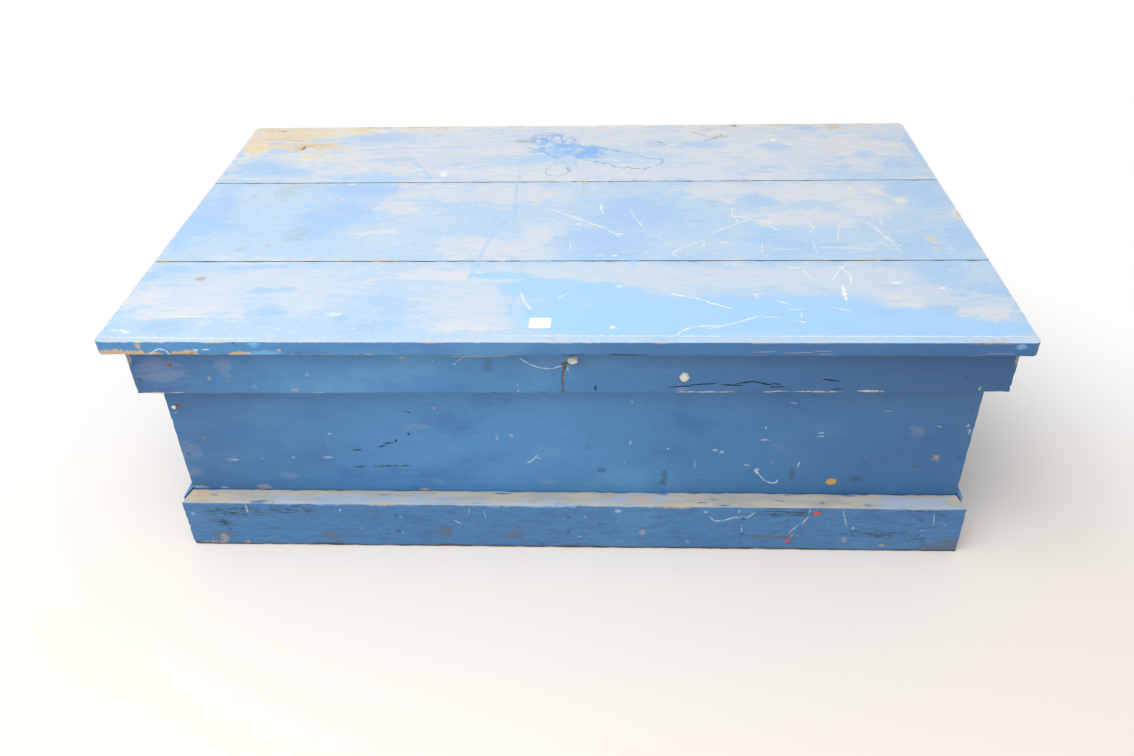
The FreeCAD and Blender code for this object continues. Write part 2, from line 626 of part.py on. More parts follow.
def handle_bail(side, sign):
    """One rod, bent to a U whose ends turn outwards through the eyes. It hangs straight down."""
    x = sign * (half_length + size("plate_thickness") + size("axis_out"))
    top = size("handle_height")
    low = top - size("bail_drop")
    end, arm = size("bar_end"), size("arm_out")
    corners = [Vector(x, -end, top), Vector(x, -arm, top), Vector(x, -arm, low),
               Vector(x, arm, low), Vector(x, arm, top), Vector(x, end, top)]
    bends = [size("turn_bend"), size("grip_bend"), size("grip_bend"), size("turn_bend")]
    edges = []
    start = corners[0]
    for place, bend in enumerate(bends, start=1):
        corner = corners[place]
        before = (corners[place - 1] - corner).normalize()
        after = (corners[place + 1] - corner).normalize()
        arc_start = corner + before * bend
        arc_end = corner + after * bend
        centre = corner + (before + after) * bend
        arc_middle = centre + (corner - centre).normalize() * bend
        edges.append(Part.LineSegment(start, arc_start).toShape())
        edges.append(Part.Arc(arc_start, arc_middle, arc_end).toShape())
        start = arc_end
    edges.append(Part.LineSegment(start, corners[-1]).toShape())
    path = doc.addObject("Part::Feature", f"{side}_handle_route")
    path.Shape = Part.Wire(edges)
    section = doc.addObject("Part::Circle", f"{side}_handle_section")
    section.Placement = Placement(corners[0], Rotation(Z_AXIS, Y_AXIS))
    section.setExpression("Radius", "sizes.bar_radius")
    bail = doc.addObject("Part::Sweep", f"{side}_handle_bail")
    bail.Sections = [section]
    bail.Spine = (path, [f"Edge{number}" for number in range(1, len(edges) + 1)])
    bail.Solid = True
    bail.Frenet = False
    return keep(bail)


for side, sign in SIDES:
    handle_plate(side, sign)
    handle_bail(side, sign)
    face_x = sign * (half_length + size("plate_thickness"))
    out, rise = size("plate_screw_out"), size("plate_screw_up")
    heads = [Vector(face_x, along * out, size("handle_height") + up * rise) for along, up in PLATE_CORNERS]
    group(f"{side}_handle_screws", [screw(head_at, Vector(-sign, 0, 0), screw_length) for head_at in heads])


# ---- label: a small blank slip of paper pasted on the front lid board ----

keep(box("paper_label", "sizes.label_length", "sizes.label_depth", "sizes.label_thickness",
         "sizes.label_x - sizes.label_length / 2", "sizes.label_y - sizes.label_depth / 2",
         "sizes.rim_height + sizes.lid_thickness"))


# ---- check every object, then write one file for each piece ----

doc.recompute()
for item in doc.Objects:
    faults = [state for state in item.State if state in ("Invalid", "Error")]
    if faults:
        raise RuntimeError(f"{item.Name} is {faults}")
for piece in nodes:
    if piece.Shape.isNull() or not piece.Shape.isValid():
        raise RuntimeError(f"{piece.Label} has no valid shape")
    if not piece.Shape.Solids:
        raise RuntimeError(f"{piece.Label} has no solid")

os.makedirs("parts", exist_ok=True)
for piece in nodes:
    piece.Shape.exportStep(f"parts/{piece.Label}.step")
print(len(nodes), "pieces written")
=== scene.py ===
import math

import bmesh
import bpy
from mathutils import Matrix, Vector


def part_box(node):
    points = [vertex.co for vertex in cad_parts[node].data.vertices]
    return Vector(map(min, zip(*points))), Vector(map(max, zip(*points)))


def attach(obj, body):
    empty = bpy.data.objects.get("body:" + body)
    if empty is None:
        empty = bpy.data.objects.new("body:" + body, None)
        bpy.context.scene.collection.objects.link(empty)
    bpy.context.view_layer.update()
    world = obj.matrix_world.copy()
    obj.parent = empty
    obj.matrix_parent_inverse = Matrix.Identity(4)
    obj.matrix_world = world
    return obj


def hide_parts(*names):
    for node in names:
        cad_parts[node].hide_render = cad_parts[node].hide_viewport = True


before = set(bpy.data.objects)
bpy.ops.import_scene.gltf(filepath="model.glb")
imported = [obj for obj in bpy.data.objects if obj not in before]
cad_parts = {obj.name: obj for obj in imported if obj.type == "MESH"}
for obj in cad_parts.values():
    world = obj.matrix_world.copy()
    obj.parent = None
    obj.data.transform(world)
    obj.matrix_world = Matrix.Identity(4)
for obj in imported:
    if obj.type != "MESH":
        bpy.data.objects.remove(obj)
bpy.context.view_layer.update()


# ---- Bottom boards ----
# Three planks of bare deal, laid lengthwise and nailed up under the four walls.
# They were never painted: the sawn wood has gone dull and grey-brown.

MM = 0.001


def shade(red, green, blue):
    """A colour as a painter would match it, 0 to 255 each."""
    levels = [level / 255 for level in (red, green, blue)]
    return tuple(((level + 0.055) / 1.055) ** 2.4 for level in levels) + (1,)


DEAL_PALE = shade(204, 182, 148)
DEAL_DARK = shade(150, 120, 90)
GREY_DUST = shade(150, 142, 128)


def add(tree, kind, feeds=None, **settings):
    """Adds a shader node. feeds gives its inputs values, or the outputs of other nodes."""
    made = tree.nodes.new("ShaderNode" + kind)
    for name, value in settings.items():
        setattr(made, name, value)
    for key, value in (feeds or {}).items():
        if isinstance(value, bpy.types.NodeSocket):
            tree.links.new(value, made.inputs[key])
        else:
            made.inputs[key].default_value = value
    return made


def maths(tree, operation, first, second=0.0, third=0.0):
    return add(tree, "Math", {0: first, 1: second, 2: third}, operation=operation).outputs[0]


def times(tree, first, second):
    return maths(tree, "MULTIPLY", first, second)


def blend(tree, share, under, over):
    """Mixes two colours: all of over where share is 1."""
    return add(tree, "Mix", {0: share, 6: under, 7: over}, data_type="RGBA").outputs[2]


def ease(tree, value, start, end):
    """A soft step: 0 where value is at start, 1 where it is at end."""
    rising = start < end
    feeds = {"Value": value, "From Min": min(start, end), "From Max": max(start, end),
             "To Min": 0.0 if rising else 1.0, "To Max": 1.0 if rising else 0.0}
    return add(tree, "MapRange", feeds, interpolation_type="SMOOTHSTEP", clamp=False).outputs[0]


def vector_maths(tree, operation, first, second=(0, 0, 0), scale=1.0, gives="Vector"):
    feeds = {0: first, 1: second, 3: scale}
    return add(tree, "VectorMath", feeds, operation=operation).outputs[gives]


def cloud(tree, place, lump, detail=2.0, roughness=0.5, gives="Fac"):
    """Soft noise with lumps of about the given size in millimetres, longer on one axis if need be."""
    if isinstance(lump, (int, float)):
        lump = (lump, lump, lump)
    finer = vector_maths(tree, "DIVIDE", place, lump)
    feeds = {"Vector": finer, "Scale": 1.0, "Detail": detail, "Roughness": roughness}
    return add(tree, "TexNoise", feeds).outputs[gives]


ORIGIN = (0, 0, 0)


def recipe(name, takes, gives):
    """Starts a shader node group. Returns it, what it is given and what it puts out.

    Each takes a place, and the named values: a number, a vector of three or a colour of four.
    """
    group = bpy.data.node_groups.new(name, "ShaderNodeTree")
    for label, value in {"Place": ORIGIN, **takes}.items():
        kind = "Float" if isinstance(value, float) else "Color" if len(value) == 4 else "Vector"
        socket = group.interface.new_socket(name=label, in_out="INPUT", socket_type="NodeSocket" + kind)
        socket.default_value = value
    for label, kind in gives.items():
        group.interface.new_socket(name=label, in_out="OUTPUT", socket_type="NodeSocket" + kind)
    given = group.nodes.new("NodeGroupInput").outputs
    made = group.nodes.new("NodeGroupOutput").inputs
    return group, given, made


# Deal: growth rings cut through lengthwise, fine fibres between them, and grey patches of old dirt.
# The grain runs along X.
deal_grain, given, made = recipe("Deal Grain", {}, {"Colour": "Color", "Relief": "Float"})
bands = times(deal_grain, cloud(deal_grain, given["Place"], (1100, 55, 55)), 80.0)
bands = maths(deal_grain, "MULTIPLY_ADD", maths(deal_grain, "SINE", bands), 0.5, 0.5)
fibres = cloud(deal_grain, given["Place"], (34, 0.8, 0.8), 3.0)
patches = cloud(deal_grain, given["Place"], (120, 45, 45), 3.0)
tone = maths(deal_grain, "ADD", times(deal_grain, bands, 0.42), times(deal_grain, fibres, 0.7))
wood = blend(deal_grain, tone, DEAL_PALE, DEAL_DARK)
wood = blend(deal_grain, times(deal_grain, ease(deal_grain, patches, 0.42, 0.75), 0.8), wood, GREY_DUST)
deal_grain.links.new(wood, made["Colour"])
deal_grain.links.new(maths(deal_grain, "SUBTRACT", 1.0, tone), made["Relief"])


class Finish:
    """A surface built up in coats: each hides what is under it where its mask is 1.

    Places are in millimetres, and so is the relief.
    """

    def __init__(self, name, colour=DEAL_PALE, rough=0.8):
        self.material = bpy.data.materials.new(name)
        self.material.use_nodes = True
        self.tree = self.material.node_tree
        self.shader = self.tree.nodes["Principled BSDF"]
        coordinates = add(self.tree, "TexCoord")
        self.place = vector_maths(self.tree, "SCALE", coordinates.outputs["Object"], scale=1 / MM)
        self.facing = add(self.tree, "SeparateXYZ", {0: coordinates.outputs["Normal"]}).outputs
        self.colour, self.rough, self.relief = colour, rough, 0.0

    def use(self, group, **feeds):
        named = {key.replace("_", " "): value for key, value in feeds.items()}
        return add(self.tree, "Group", {"Place": self.place, **named}, node_tree=group).outputs

    def coat(self, mask, colour, rough, lift=0.0, label=""):
        """Brushes a coat over the ones before it. The label names it in the shader editor."""
        self.colour = blend(self.tree, mask, self.colour, colour)
        self.colour.node.label = label
        self.rough = add(self.tree, "Mix", {0: mask, 2: self.rough, 3: rough}, data_type="FLOAT").outputs[0]
        if lift:
            self.relief = maths(self.tree, "MULTIPLY_ADD", mask, lift, self.relief)

    def dress(self, *pieces):
        """Joins the coats to the shader and puts the finish on the pieces."""
        for source, socket in ((self.colour, "Base Color"), (self.rough, "Roughness")):
            self.tree.links.new(source, self.shader.inputs[socket])
        bump = add(self.tree, "Bump", {"Height": self.relief, "Distance": MM, "Strength": 1.0})
        self.tree.links.new(bump.outputs[0], self.shader.inputs["Normal"])
        for piece in pieces:
            piece.data.materials.clear()
            piece.data.materials.append(self.material)


def along_grain(finish, along):
    """The finish's place, turned so that a board that runs along Y has its grain along it."""
    if along == "X":
        return finish.place
    return add(finish.tree, "Mapping", {"Vector": finish.place, "Rotation": (0, 0, math.pi / 2)}).outputs[0]


def bare_deal(name, along="X"):
    """A finish of unpainted deal."""
    finish = Finish(name)
    wood = finish.use(deal_grain, Place=along_grain(finish, along))
    finish.coat(1.0, wood["Colour"], 0.8)
    finish.relief = times(finish.tree, wood["Relief"], 0.16)
    return finish


def pick_edges(piece, axis):
    """Selects, in edit mode, the edges that run along one axis: 0 for X, 1 for Y, 2 for Z."""
    bpy.ops.mesh.select_mode(type="EDGE")
    bpy.ops.mesh.select_all(action="DESELECT")
    shape = bmesh.from_edit_mesh(piece.data)
    for edge in shape.edges:
        start, end = (corner.co for corner in edge.verts)
        edge.select_set(abs((end - start).normalized()[axis]) > 0.9)
    shape.select_flush_mode()
    bmesh.update_edit_mesh(piece.data)


def only(piece):
    """Makes the piece the one selected object."""
    bpy.ops.object.select_all(action="DESELECT")
    piece.select_set(True)
    bpy.context.view_layer.objects.active = piece


def modify(piece, kind, **settings):
    """Adds a modifier to the piece and applies it."""
    only(piece)
    bpy.ops.object.modifier_add(type=kind)
    modifier = piece.modifiers[-1]
    for name, value in settings.items():
        setattr(modifier, name, value)
    bpy.ops.object.modifier_apply(modifier=modifier.name)


def lumps(name, size, contrast, level):
    """A texture for a Displace modifier: lumps of the given size in millimetres."""
    texture = bpy.data.textures.new(name, type="CLOUDS")
    texture.noise_scale = size * MM
    texture.noise_depth = 3
    texture.contrast = contrast
    texture.intensity = level
    texture.use_clamp = True
    return texture


CHIPS = lumps("arris_chips", 9, 4.5, 0.62)
RUBBING = lumps("arris_rubbing", 70, 1.6, 1.0)


def saw(planes):
    """Saws off, in edit mode, what lies beyond each plane: a point on it and the way it faces."""
    for point, outward in planes:
        bpy.ops.mesh.select_all(action="SELECT")
        bpy.ops.mesh.bisect(plane_co=point, plane_no=Vector(outward).normalized(), use_fill=True,
                            clear_outer=True)


def plank(name, node, cuts, arris=1.2, chip=0.8, sawn=(), trimmed=()):
    """A board over its CAD node, its arrises rubbed and chipped.

    cuts says how often it is divided along X, Y and Z. It is sawn to shape before that, and trimmed after.
    """
    low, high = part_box(node)
    bpy.ops.object.select_all(action="DESELECT")
    bpy.ops.mesh.primitive_cube_add(size=1, location=(low + high) / 2, scale=high - low)
    board = bpy.context.object
    board.name = name
    bpy.ops.object.transform_apply(location=True, rotation=True, scale=True)
    bpy.ops.object.mode_set(mode="EDIT")
    saw(sawn)
    for axis, count in enumerate(cuts):
        if count:
            pick_edges(board, axis)
            bpy.ops.mesh.subdivide(number_cuts=count)
    saw(trimmed)
    bpy.ops.mesh.select_mode(type="EDGE")
    bpy.ops.mesh.select_all(action="DESELECT")
    bpy.ops.mesh.edges_select_sharp(sharpness=math.radians(40))
    bpy.ops.mesh.bevel(offset=arris * MM, segments=2, affect="EDGES")
    bpy.ops.object.vertex_group_assign_new()
    bpy.ops.object.mode_set(mode="OBJECT")
    board.vertex_groups[-1].name = "arris"
    for texture, depth in ((RUBBING, 0.25 * arris), (CHIPS, chip)):
        modify(board, "DISPLACE", texture=texture, vertex_group="arris", mid_level=0.0,
               strength=-depth * MM)
    bpy.ops.object.shade_smooth_by_angle(angle=math.radians(18))
    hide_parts(node)
    return board


bottom_planks = []
for strip in ("front", "middle", "back"):
    board = plank(f"bottom_plank_{strip}", f"bottom_board_{strip}", (60, 6, 0))
    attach(board, "chest")
    bottom_planks.append(board)
bare_deal("bare_deal_bottom").dress(*bottom_planks)


# ---- Runners ----
# Three battens across the underside keep the bottom boards off the floor.
# They are the roughest wood in the chest, dirty where they meet the floor.

FLOOR_DIRT = shade(74, 66, 57)
ACROSS = ("left", "middle", "right")

runner = bare_deal("bare_deal_runner", along="Y")
height = add(runner.tree, "SeparateXYZ", {0: runner.place}).outputs[2]
runner.coat(ease(runner.tree, height, 9.0, 0.0), FLOOR_DIRT, 0.9)
runners = []
for side in ACROSS:
    board = plank(f"runner_{side}", f"{side}_runner", (2, 40, 0))
    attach(board, "chest")
    runners.append(board)
runner.dress(*runners)


# ---- End boards and back board ----
# One wide plank each, painted blue on the outside only. The back is nailed over the ends.
# The paint is an old oil paint gone flat: brush marks along the board, chips and rubbed arrises.

BLUE = shade(70, 133, 188)
BLUE_THIN = shade(88, 149, 199)
BLUE_DEEP = shade(56, 115, 172)
# A darker blue: painted shade at the ends of the front, skirt and lip and on the nail heads, grime smears
# on the sides, and a darkening of the whole plinth face.
BLUE_SHADE_AND_GRIME = shade(42, 88, 138)

# Brushed paint: long fine brush marks over a slow drift between a thinner and a deeper coat.
brushed_paint, given, made = recipe(
    "Brushed Paint", {"Paint": BLUE, "Thin": BLUE_THIN, "Deep": BLUE_DEEP},
    {"Colour": "Color", "Relief": "Float"})
brush = cloud(brushed_paint, given["Place"], (70, 1.7, 1.7), 3.0, 0.6)
drift = cloud(brushed_paint, given["Place"], (150, 80, 80), 5.0, 0.62)
speckle = cloud(brushed_paint, given["Place"], (7, 4, 4), 4.0, 0.7)
paint = blend(brushed_paint, ease(brushed_paint, drift, 0.50, 0.72), given["Paint"], given["Thin"])
paint = blend(brushed_paint, ease(brushed_paint, drift, 0.48, 0.30), paint, given["Deep"])
strength = times(brushed_paint, ease(brushed_paint, brush, 0.5, 0.72), 0.35)
paint = blend(brushed_paint, strength, paint, given["Thin"])
strength = times(brushed_paint, ease(brushed_paint, speckle, 0.54, 0.72), 0.45)
paint = blend(brushed_paint, strength, paint, given["Deep"])
brushed_paint.links.new(paint, made["Colour"])
brushed_paint.links.new(maths(brushed_paint, "MULTIPLY_ADD", speckle, 0.6, brush), made["Relief"])

# Wear along the arrises: 1 on the edge lines of a board, in a ragged band, and 0 further in.
arris_wear, given, made = recipe(
    "Arris Wear", {"Low": ORIGIN, "High": (1, 1, 1), "Width": 0.5, "Ragged": 8.0}, {"Wear": "Float"})
from_low = vector_maths(arris_wear, "SUBTRACT", given["Place"], given["Low"])
from_high = vector_maths(arris_wear, "SUBTRACT", given["High"], given["Place"])
inset = vector_maths(arris_wear, "MINIMUM", from_low, from_high)
inset = add(arris_wear, "SeparateXYZ", {0: inset}).outputs
nearer = maths(arris_wear, "MINIMUM", inset[0], inset[1])
farther = maths(arris_wear, "MAXIMUM", inset[0], inset[1])
to_arris = maths(arris_wear, "MAXIMUM", nearer, maths(arris_wear, "MINIMUM", farther, inset[2]))
ragged = maths(arris_wear, "SUBTRACT", cloud(arris_wear, given["Place"], (26, 26, 10), 5.0, 0.68), 0.52)
reach = maths(arris_wear, "MULTIPLY_ADD", ragged, given["Ragged"], given["Width"])
wear = ease(arris_wear, maths(arris_wear, "SUBTRACT", reach, to_arris), 0.0, 0.3)
arris_wear.links.new(wear, made["Wear"])

# Small chips in the paint, a few to the hand's breadth, some with a splinter's shape.
chipped, given, made = recipe("Small Chips", {"Spacing": 26.0, "Share": 0.09}, {"Chip": "Float"})
wobble = cloud(chipped, given["Place"], 3, 2.0, gives="Color")
strewn = vector_maths(chipped, "MULTIPLY_ADD", wobble, (4.5, 4.5, 4.5))
chipped.links.new(given["Place"], strewn.node.inputs[2])
spacing = vector_maths(chipped, "MULTIPLY", strewn, (0.6, 1.0, 1.0))
per_millimetre = maths(chipped, "DIVIDE", 1.0, given["Spacing"])
cells = add(chipped, "TexVoronoi", {"Vector": spacing, "Scale": per_millimetre})
luck = add(chipped, "SeparateColor", {0: cells.outputs["Color"]}).outputs
near = maths(chipped, "LESS_THAN", cells.outputs["Distance"], times(chipped, luck[1], 0.085))
chosen = maths(chipped, "LESS_THAN", luck[0], given["Share"])
chipped.links.new(times(chipped, near, chosen), made["Chip"])

# Scrapes: long hairlines that run nearly straight and fade in and out.
scraped, given, made = recipe("Scrapes", {"Turn": ORIGIN}, {"Line": "Float"})
turned = add(scraped, "Mapping", {"Vector": given["Place"], "Rotation": given["Turn"]}).outputs[0]
wander = maths(scraped, "SUBTRACT", cloud(scraped, turned, (300, 30, 30), 1.0), 0.5)
hairline = ease(scraped, maths(scraped, "ABSOLUTE", wander), 0.0045, 0.002)
stretch = ease(scraped, cloud(scraped, turned, (45, 20, 20), 1.0), 0.62, 0.70)
scraped.links.new(times(scraped, hairline, stretch), made["Line"])

# Pale specks that stand in the pits of the paint.
pale_specks, given, made = recipe("Pale Specks", {}, {"Mask": "Float"})
pits = cloud(pale_specks, given["Place"], (3.2, 1.6, 1.6), 3.0, 0.7)
pale_specks.links.new(times(pale_specks, ease(pale_specks, pits, 0.60, 0.76), 0.35), made["Mask"])

# A side that is never cleaned: smears along the grain, and dirt splashed up from the floor.
neglect, given, made = recipe(
    "Smears and Splashes", {"Grain": ORIGIN}, {"Smears": "Float", "Splashes": "Float"})
smears = cloud(neglect, given["Grain"], (90, 12, 12), 6.0, 0.75)
neglect.links.new(times(neglect, ease(neglect, smears, 0.50, 0.70), 0.4), made["Smears"])
height = add(neglect, "SeparateXYZ", {0: given["Place"]}).outputs[2]
splashes = cloud(neglect, given["Place"], (18, 18, 12), 5.0, 0.75)
splashes = maths(neglect, "MULTIPLY_ADD", splashes, 190.0, -55.0)
low_down = ease(neglect, maths(neglect, "SUBTRACT", splashes, height), 0.0, 40.0)
neglect.links.new(times(neglect, low_down, 0.45), made["Splashes"])


SCRAPE_PALE = shade(176, 190, 200)
SPLASHED = shade(104, 112, 116)


def millimetres(corner):
    return tuple(value / MM for value in corner)


def painted(name, node, bare=None, along="X", width=0.5, ragged=8.0):
    """A finish of deal brushed with blue oil paint. bare is the side never painted, such as (1, -1): -Y."""
    finish = Finish(name)
    tree = finish.tree
    low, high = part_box(node)
    grain_place = along_grain(finish, along)
    wood = finish.use(deal_grain, Place=grain_place)
    finish.coat(1.0, wood["Colour"], 0.8)
    finish.coat(0.35, GREY_DUST, 0.85)
    paint = finish.use(brushed_paint, Place=grain_place)
    worn = finish.use(arris_wear, Low=millimetres(low), High=millimetres(high), Width=width,
                      Ragged=ragged)["Wear"]
    worn = maths(tree, "MAXIMUM", worn, finish.use(chipped)["Chip"])
    if bare:
        axis, sign = bare
        inside = ease(tree, times(tree, finish.facing[axis], float(sign)), 0.5, 0.7)
        worn = maths(tree, "MAXIMUM", worn, inside)
    finish.covered = maths(tree, "SUBTRACT", 1.0, worn)
    finish.coat(finish.covered, paint["Colour"], 0.46)
    specks = finish.use(pale_specks)["Mask"]
    finish.coat(times(tree, specks, finish.covered), SCRAPE_PALE, 0.55)
    grain_relief = times(tree, wood["Relief"], 0.06)
    brush_relief = maths(tree, "MULTIPLY_ADD", paint["Relief"], 0.08, grain_relief)
    finish.relief = maths(tree, "MULTIPLY_ADD", finish.covered, 0.15, brush_relief)
    return finish


def weathered(finish, along="X", turn=None):
    """Dulls a side that is never cleaned. turn is the way its scrapes lie, if it has any."""
    tree = finish.tree
    dirt = finish.use(neglect, Grain=along_grain(finish, along))
    finish.coat(times(tree, dirt["Smears"], finish.covered), BLUE_SHADE_AND_GRIME, 0.6)
    finish.coat(times(tree, dirt["Splashes"], finish.covered), SPLASHED, 0.75)
    if turn:
        scrapes = finish.use(scraped, Turn=turn)["Line"]
        finish.coat(times(tree, scrapes, finish.covered), SCRAPE_PALE, 0.6)


SIDES = {"left": -1, "right": 1}
for side, sign in SIDES.items():
    board = plank(f"end_plank_{side}", f"{side}_end_board", (0, 60, 26))
    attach(board, "chest")
    finish = painted(f"blue_{side}_end", f"{side}_end_board", bare=(0, -sign), along="Y")
    weathered(finish, along="Y", turn=(0.9, 0, math.pi / 2))
    finish.dress(board)

board = plank("back_plank", "back_board", (110, 0, 26))
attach(board, "chest")
finish = painted("blue_back", "back_board", bare=(1, -1))
weathered(finish, turn=(0, 0.35, 0))
finish.dress(board)


# ---- Front board ----
# One wide plank nailed over the ends of the end boards. Its face shows best how the paint was
# knocked about: flecks, scrapes, an open nail hole, and short black cracks along the grain.

FACE_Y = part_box("front_board")[0].y / MM
HOLE_AT = (-186, 158)
HOLE_MOUTH = 2.1
HOLE_FLOOR = 1.2
HOLE_LENGTH = 9
BARE_WOOD = shade(170, 156, 142)
PALE_FLECK = shade(196, 206, 214)
CRACK_BLACK = shade(26, 38, 50)
SMUDGE = shade(52, 86, 118)
OLD_ORANGE = shade(204, 156, 84)
OLD_TAN = shade(172, 146, 134)
RUST = shade(122, 82, 58)

# A spot: 1 inside an ellipsoid round a centre, with a soft or a hard border.
spot, given, made = recipe("Spot", {"Centre": ORIGIN, "Reach": (1, 1, 1), "Soft": 0.4}, {"Mask": "Float"})
offset = vector_maths(spot, "SUBTRACT", given["Place"], given["Centre"])
distance = vector_maths(spot, "LENGTH", vector_maths(spot, "DIVIDE", offset, given["Reach"]), gives="Value")
inner = maths(spot, "SUBTRACT", 1.0, given["Soft"])
outer = maths(spot, "ADD", 1.0, given["Soft"])
step = add(spot, "MapRange", {"Value": distance, "From Min": inner, "From Max": outer, "To Min": 1.0,
                              "To Max": 0.0}, interpolation_type="SMOOTHSTEP", clamp=False)
spot.links.new(step.outputs[0], made["Mask"])

# A stroke: 1 along a straight line, thinning out towards its two ends.
stroke, given, made = recipe(
    "Stroke", {"Start": ORIGIN, "End": (1, 0, 0), "Width": 1.0}, {"Mask": "Float"})
to_place = vector_maths(stroke, "SUBTRACT", given["Place"], given["Start"])
line = vector_maths(stroke, "SUBTRACT", given["End"], given["Start"])
gone = vector_maths(stroke, "DOT_PRODUCT", to_place, line, gives="Value")
whole = vector_maths(stroke, "DOT_PRODUCT", line, line, gives="Value")
share = maths(stroke, "MAXIMUM", maths(stroke, "DIVIDE", gone, whole), 0.0)
share = maths(stroke, "MINIMUM", share, 1.0)
aside = vector_maths(stroke, "DISTANCE", to_place, vector_maths(stroke, "SCALE", line, scale=share),
                     gives="Value")
swell = maths(stroke, "MULTIPLY_ADD", share, maths(stroke, "SUBTRACT", 1.0, share), 0.15)
margin = maths(stroke, "SUBTRACT", times(stroke, swell, given["Width"]), aside)
stroke.links.new(ease(stroke, margin, -0.25, 0.3), made["Mask"])

# A place shifted about, so that a mark drawn there has a ragged outline.
shaken_place, given, made = recipe(
    "Shaken Place", {"Lump": (1, 1, 1), "Shift": ORIGIN}, {"Place": "Vector"})
noise = cloud(shaken_place, given["Place"], given["Lump"], 3.0, 0.65, gives="Color")
noise = vector_maths(shaken_place, "SUBTRACT", noise, (0.5, 0.5, 0.5))
shift = vector_maths(shaken_place, "MULTIPLY", noise, given["Shift"])
shaken_place.links.new(vector_maths(shaken_place, "ADD", given["Place"], shift), made["Place"])

# A soft patch broken up into short streaks and specks along the grain.
streaked, given, made = recipe("Streaked Patch", {"Mark": 0.0}, {"Mask": "Float"})
streaks = cloud(streaked, given["Place"], (30, 9, 8), 7.0, 0.8)
streaks = maths(streaked, "MULTIPLY_ADD", streaks, 2.2, -0.6)
filled = maths(streaked, "MULTIPLY_ADD", given["Mark"], 0.48, streaks)
inside = ease(streaked, given["Mark"], 0.0, 0.4)
streaked.links.new(times(streaked, ease(streaked, filled, 0.50, 1.0), inside), made["Mask"])

# A mark worn away here and there.
worn_away, given, made = recipe("Worn Away", {"Mark": 0.0}, {"Mask": "Float"})
still_there = ease(worn_away, cloud(worn_away, given["Place"], (7, 3, 3), 4.0, 0.75), 0.36, 0.56)
worn_away.links.new(times(worn_away, given["Mark"], still_there), made["Mask"])


class Face:
    """One face of a board and the marks on it. at turns two lengths on the face into a place."""

    def __init__(self, finish, at):
        self.finish = finish
        self.at = at

    def span(self, across, up, through):
        """A width and a height on the face as a vector, with a depth square to the face."""
        size = Vector(self.at(across, up)) - Vector(self.at(0, 0))
        return tuple(through if abs(part) < 1e-6 else abs(part) for part in size)

    def shaken(self, shake):
        """The finish's place, shaken about on the face. The harder it is shaken, the bigger its lumps."""
        lump = 3 if shake < 3 else 9 if shake < 6 else 26
        shift = self.span(3.5 * shake, 3.5 * shake, 0.0)
        return self.finish.use(shaken_place, Lump=(lump, lump, lump), Shift=shift)["Place"]

    def spots(self, marks, soft=0.3, shake=1.0, skin=4.0):
        """One mask for spots. Each is its middle, then half its width and half its height."""
        place = self.shaken(shake)
        mask = 0.0
        for across, up, half_width, half_height in marks:
            found = self.finish.use(spot, Place=place, Centre=self.at(across, up), Soft=soft,
                                    Reach=self.span(half_width, half_height, skin))
            mask = maths(self.finish.tree, "MAXIMUM", mask, found["Mask"])
        return mask

    def strokes(self, runs, shake=0.6):
        """One mask for scratches. Each run is its width, then the points that it passes."""
        place = self.shaken(shake)
        mask = 0.0
        for width, *points in runs:
            for start, end in zip(points, points[1:]):
                found = self.finish.use(stroke, Place=place, Start=self.at(*start), End=self.at(*end),
                                        Width=width)
                mask = maths(self.finish.tree, "MAXIMUM", mask, found["Mask"])
        return mask

    def lay(self, label, mask, colour, rough, wear=None, strength=1.0, lift=0.0):
        """Lays marks on the face as one coat. wear is the shader node group that wears them, if any."""
        if wear:
            mask = self.finish.use(wear, Mark=mask)["Mask"]
        self.finish.coat(times(self.finish.tree, mask, strength), colour, rough, lift, label)


def on_front(x, z):
    return (x, FACE_Y, z)


def hollow(board, cutter):
    """Takes the cutter out of a board."""
    modify(board, "BOOLEAN", operation="DIFFERENCE", object=cutter, solver="EXACT")
    bpy.data.objects.remove(cutter)


board = plank("front_plank", "front_board", (240, 0, 36))
bpy.ops.object.select_all(action="DESELECT")
bpy.ops.mesh.primitive_cone_add(vertices=14, radius1=HOLE_MOUTH * MM, radius2=HOLE_FLOOR * MM,
                                depth=HOLE_LENGTH * MM, location=Vector(on_front(*HOLE_AT)) * MM,
                                rotation=(-math.pi / 2, 0, 0))
hollow(board, bpy.context.object)
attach(board, "chest")

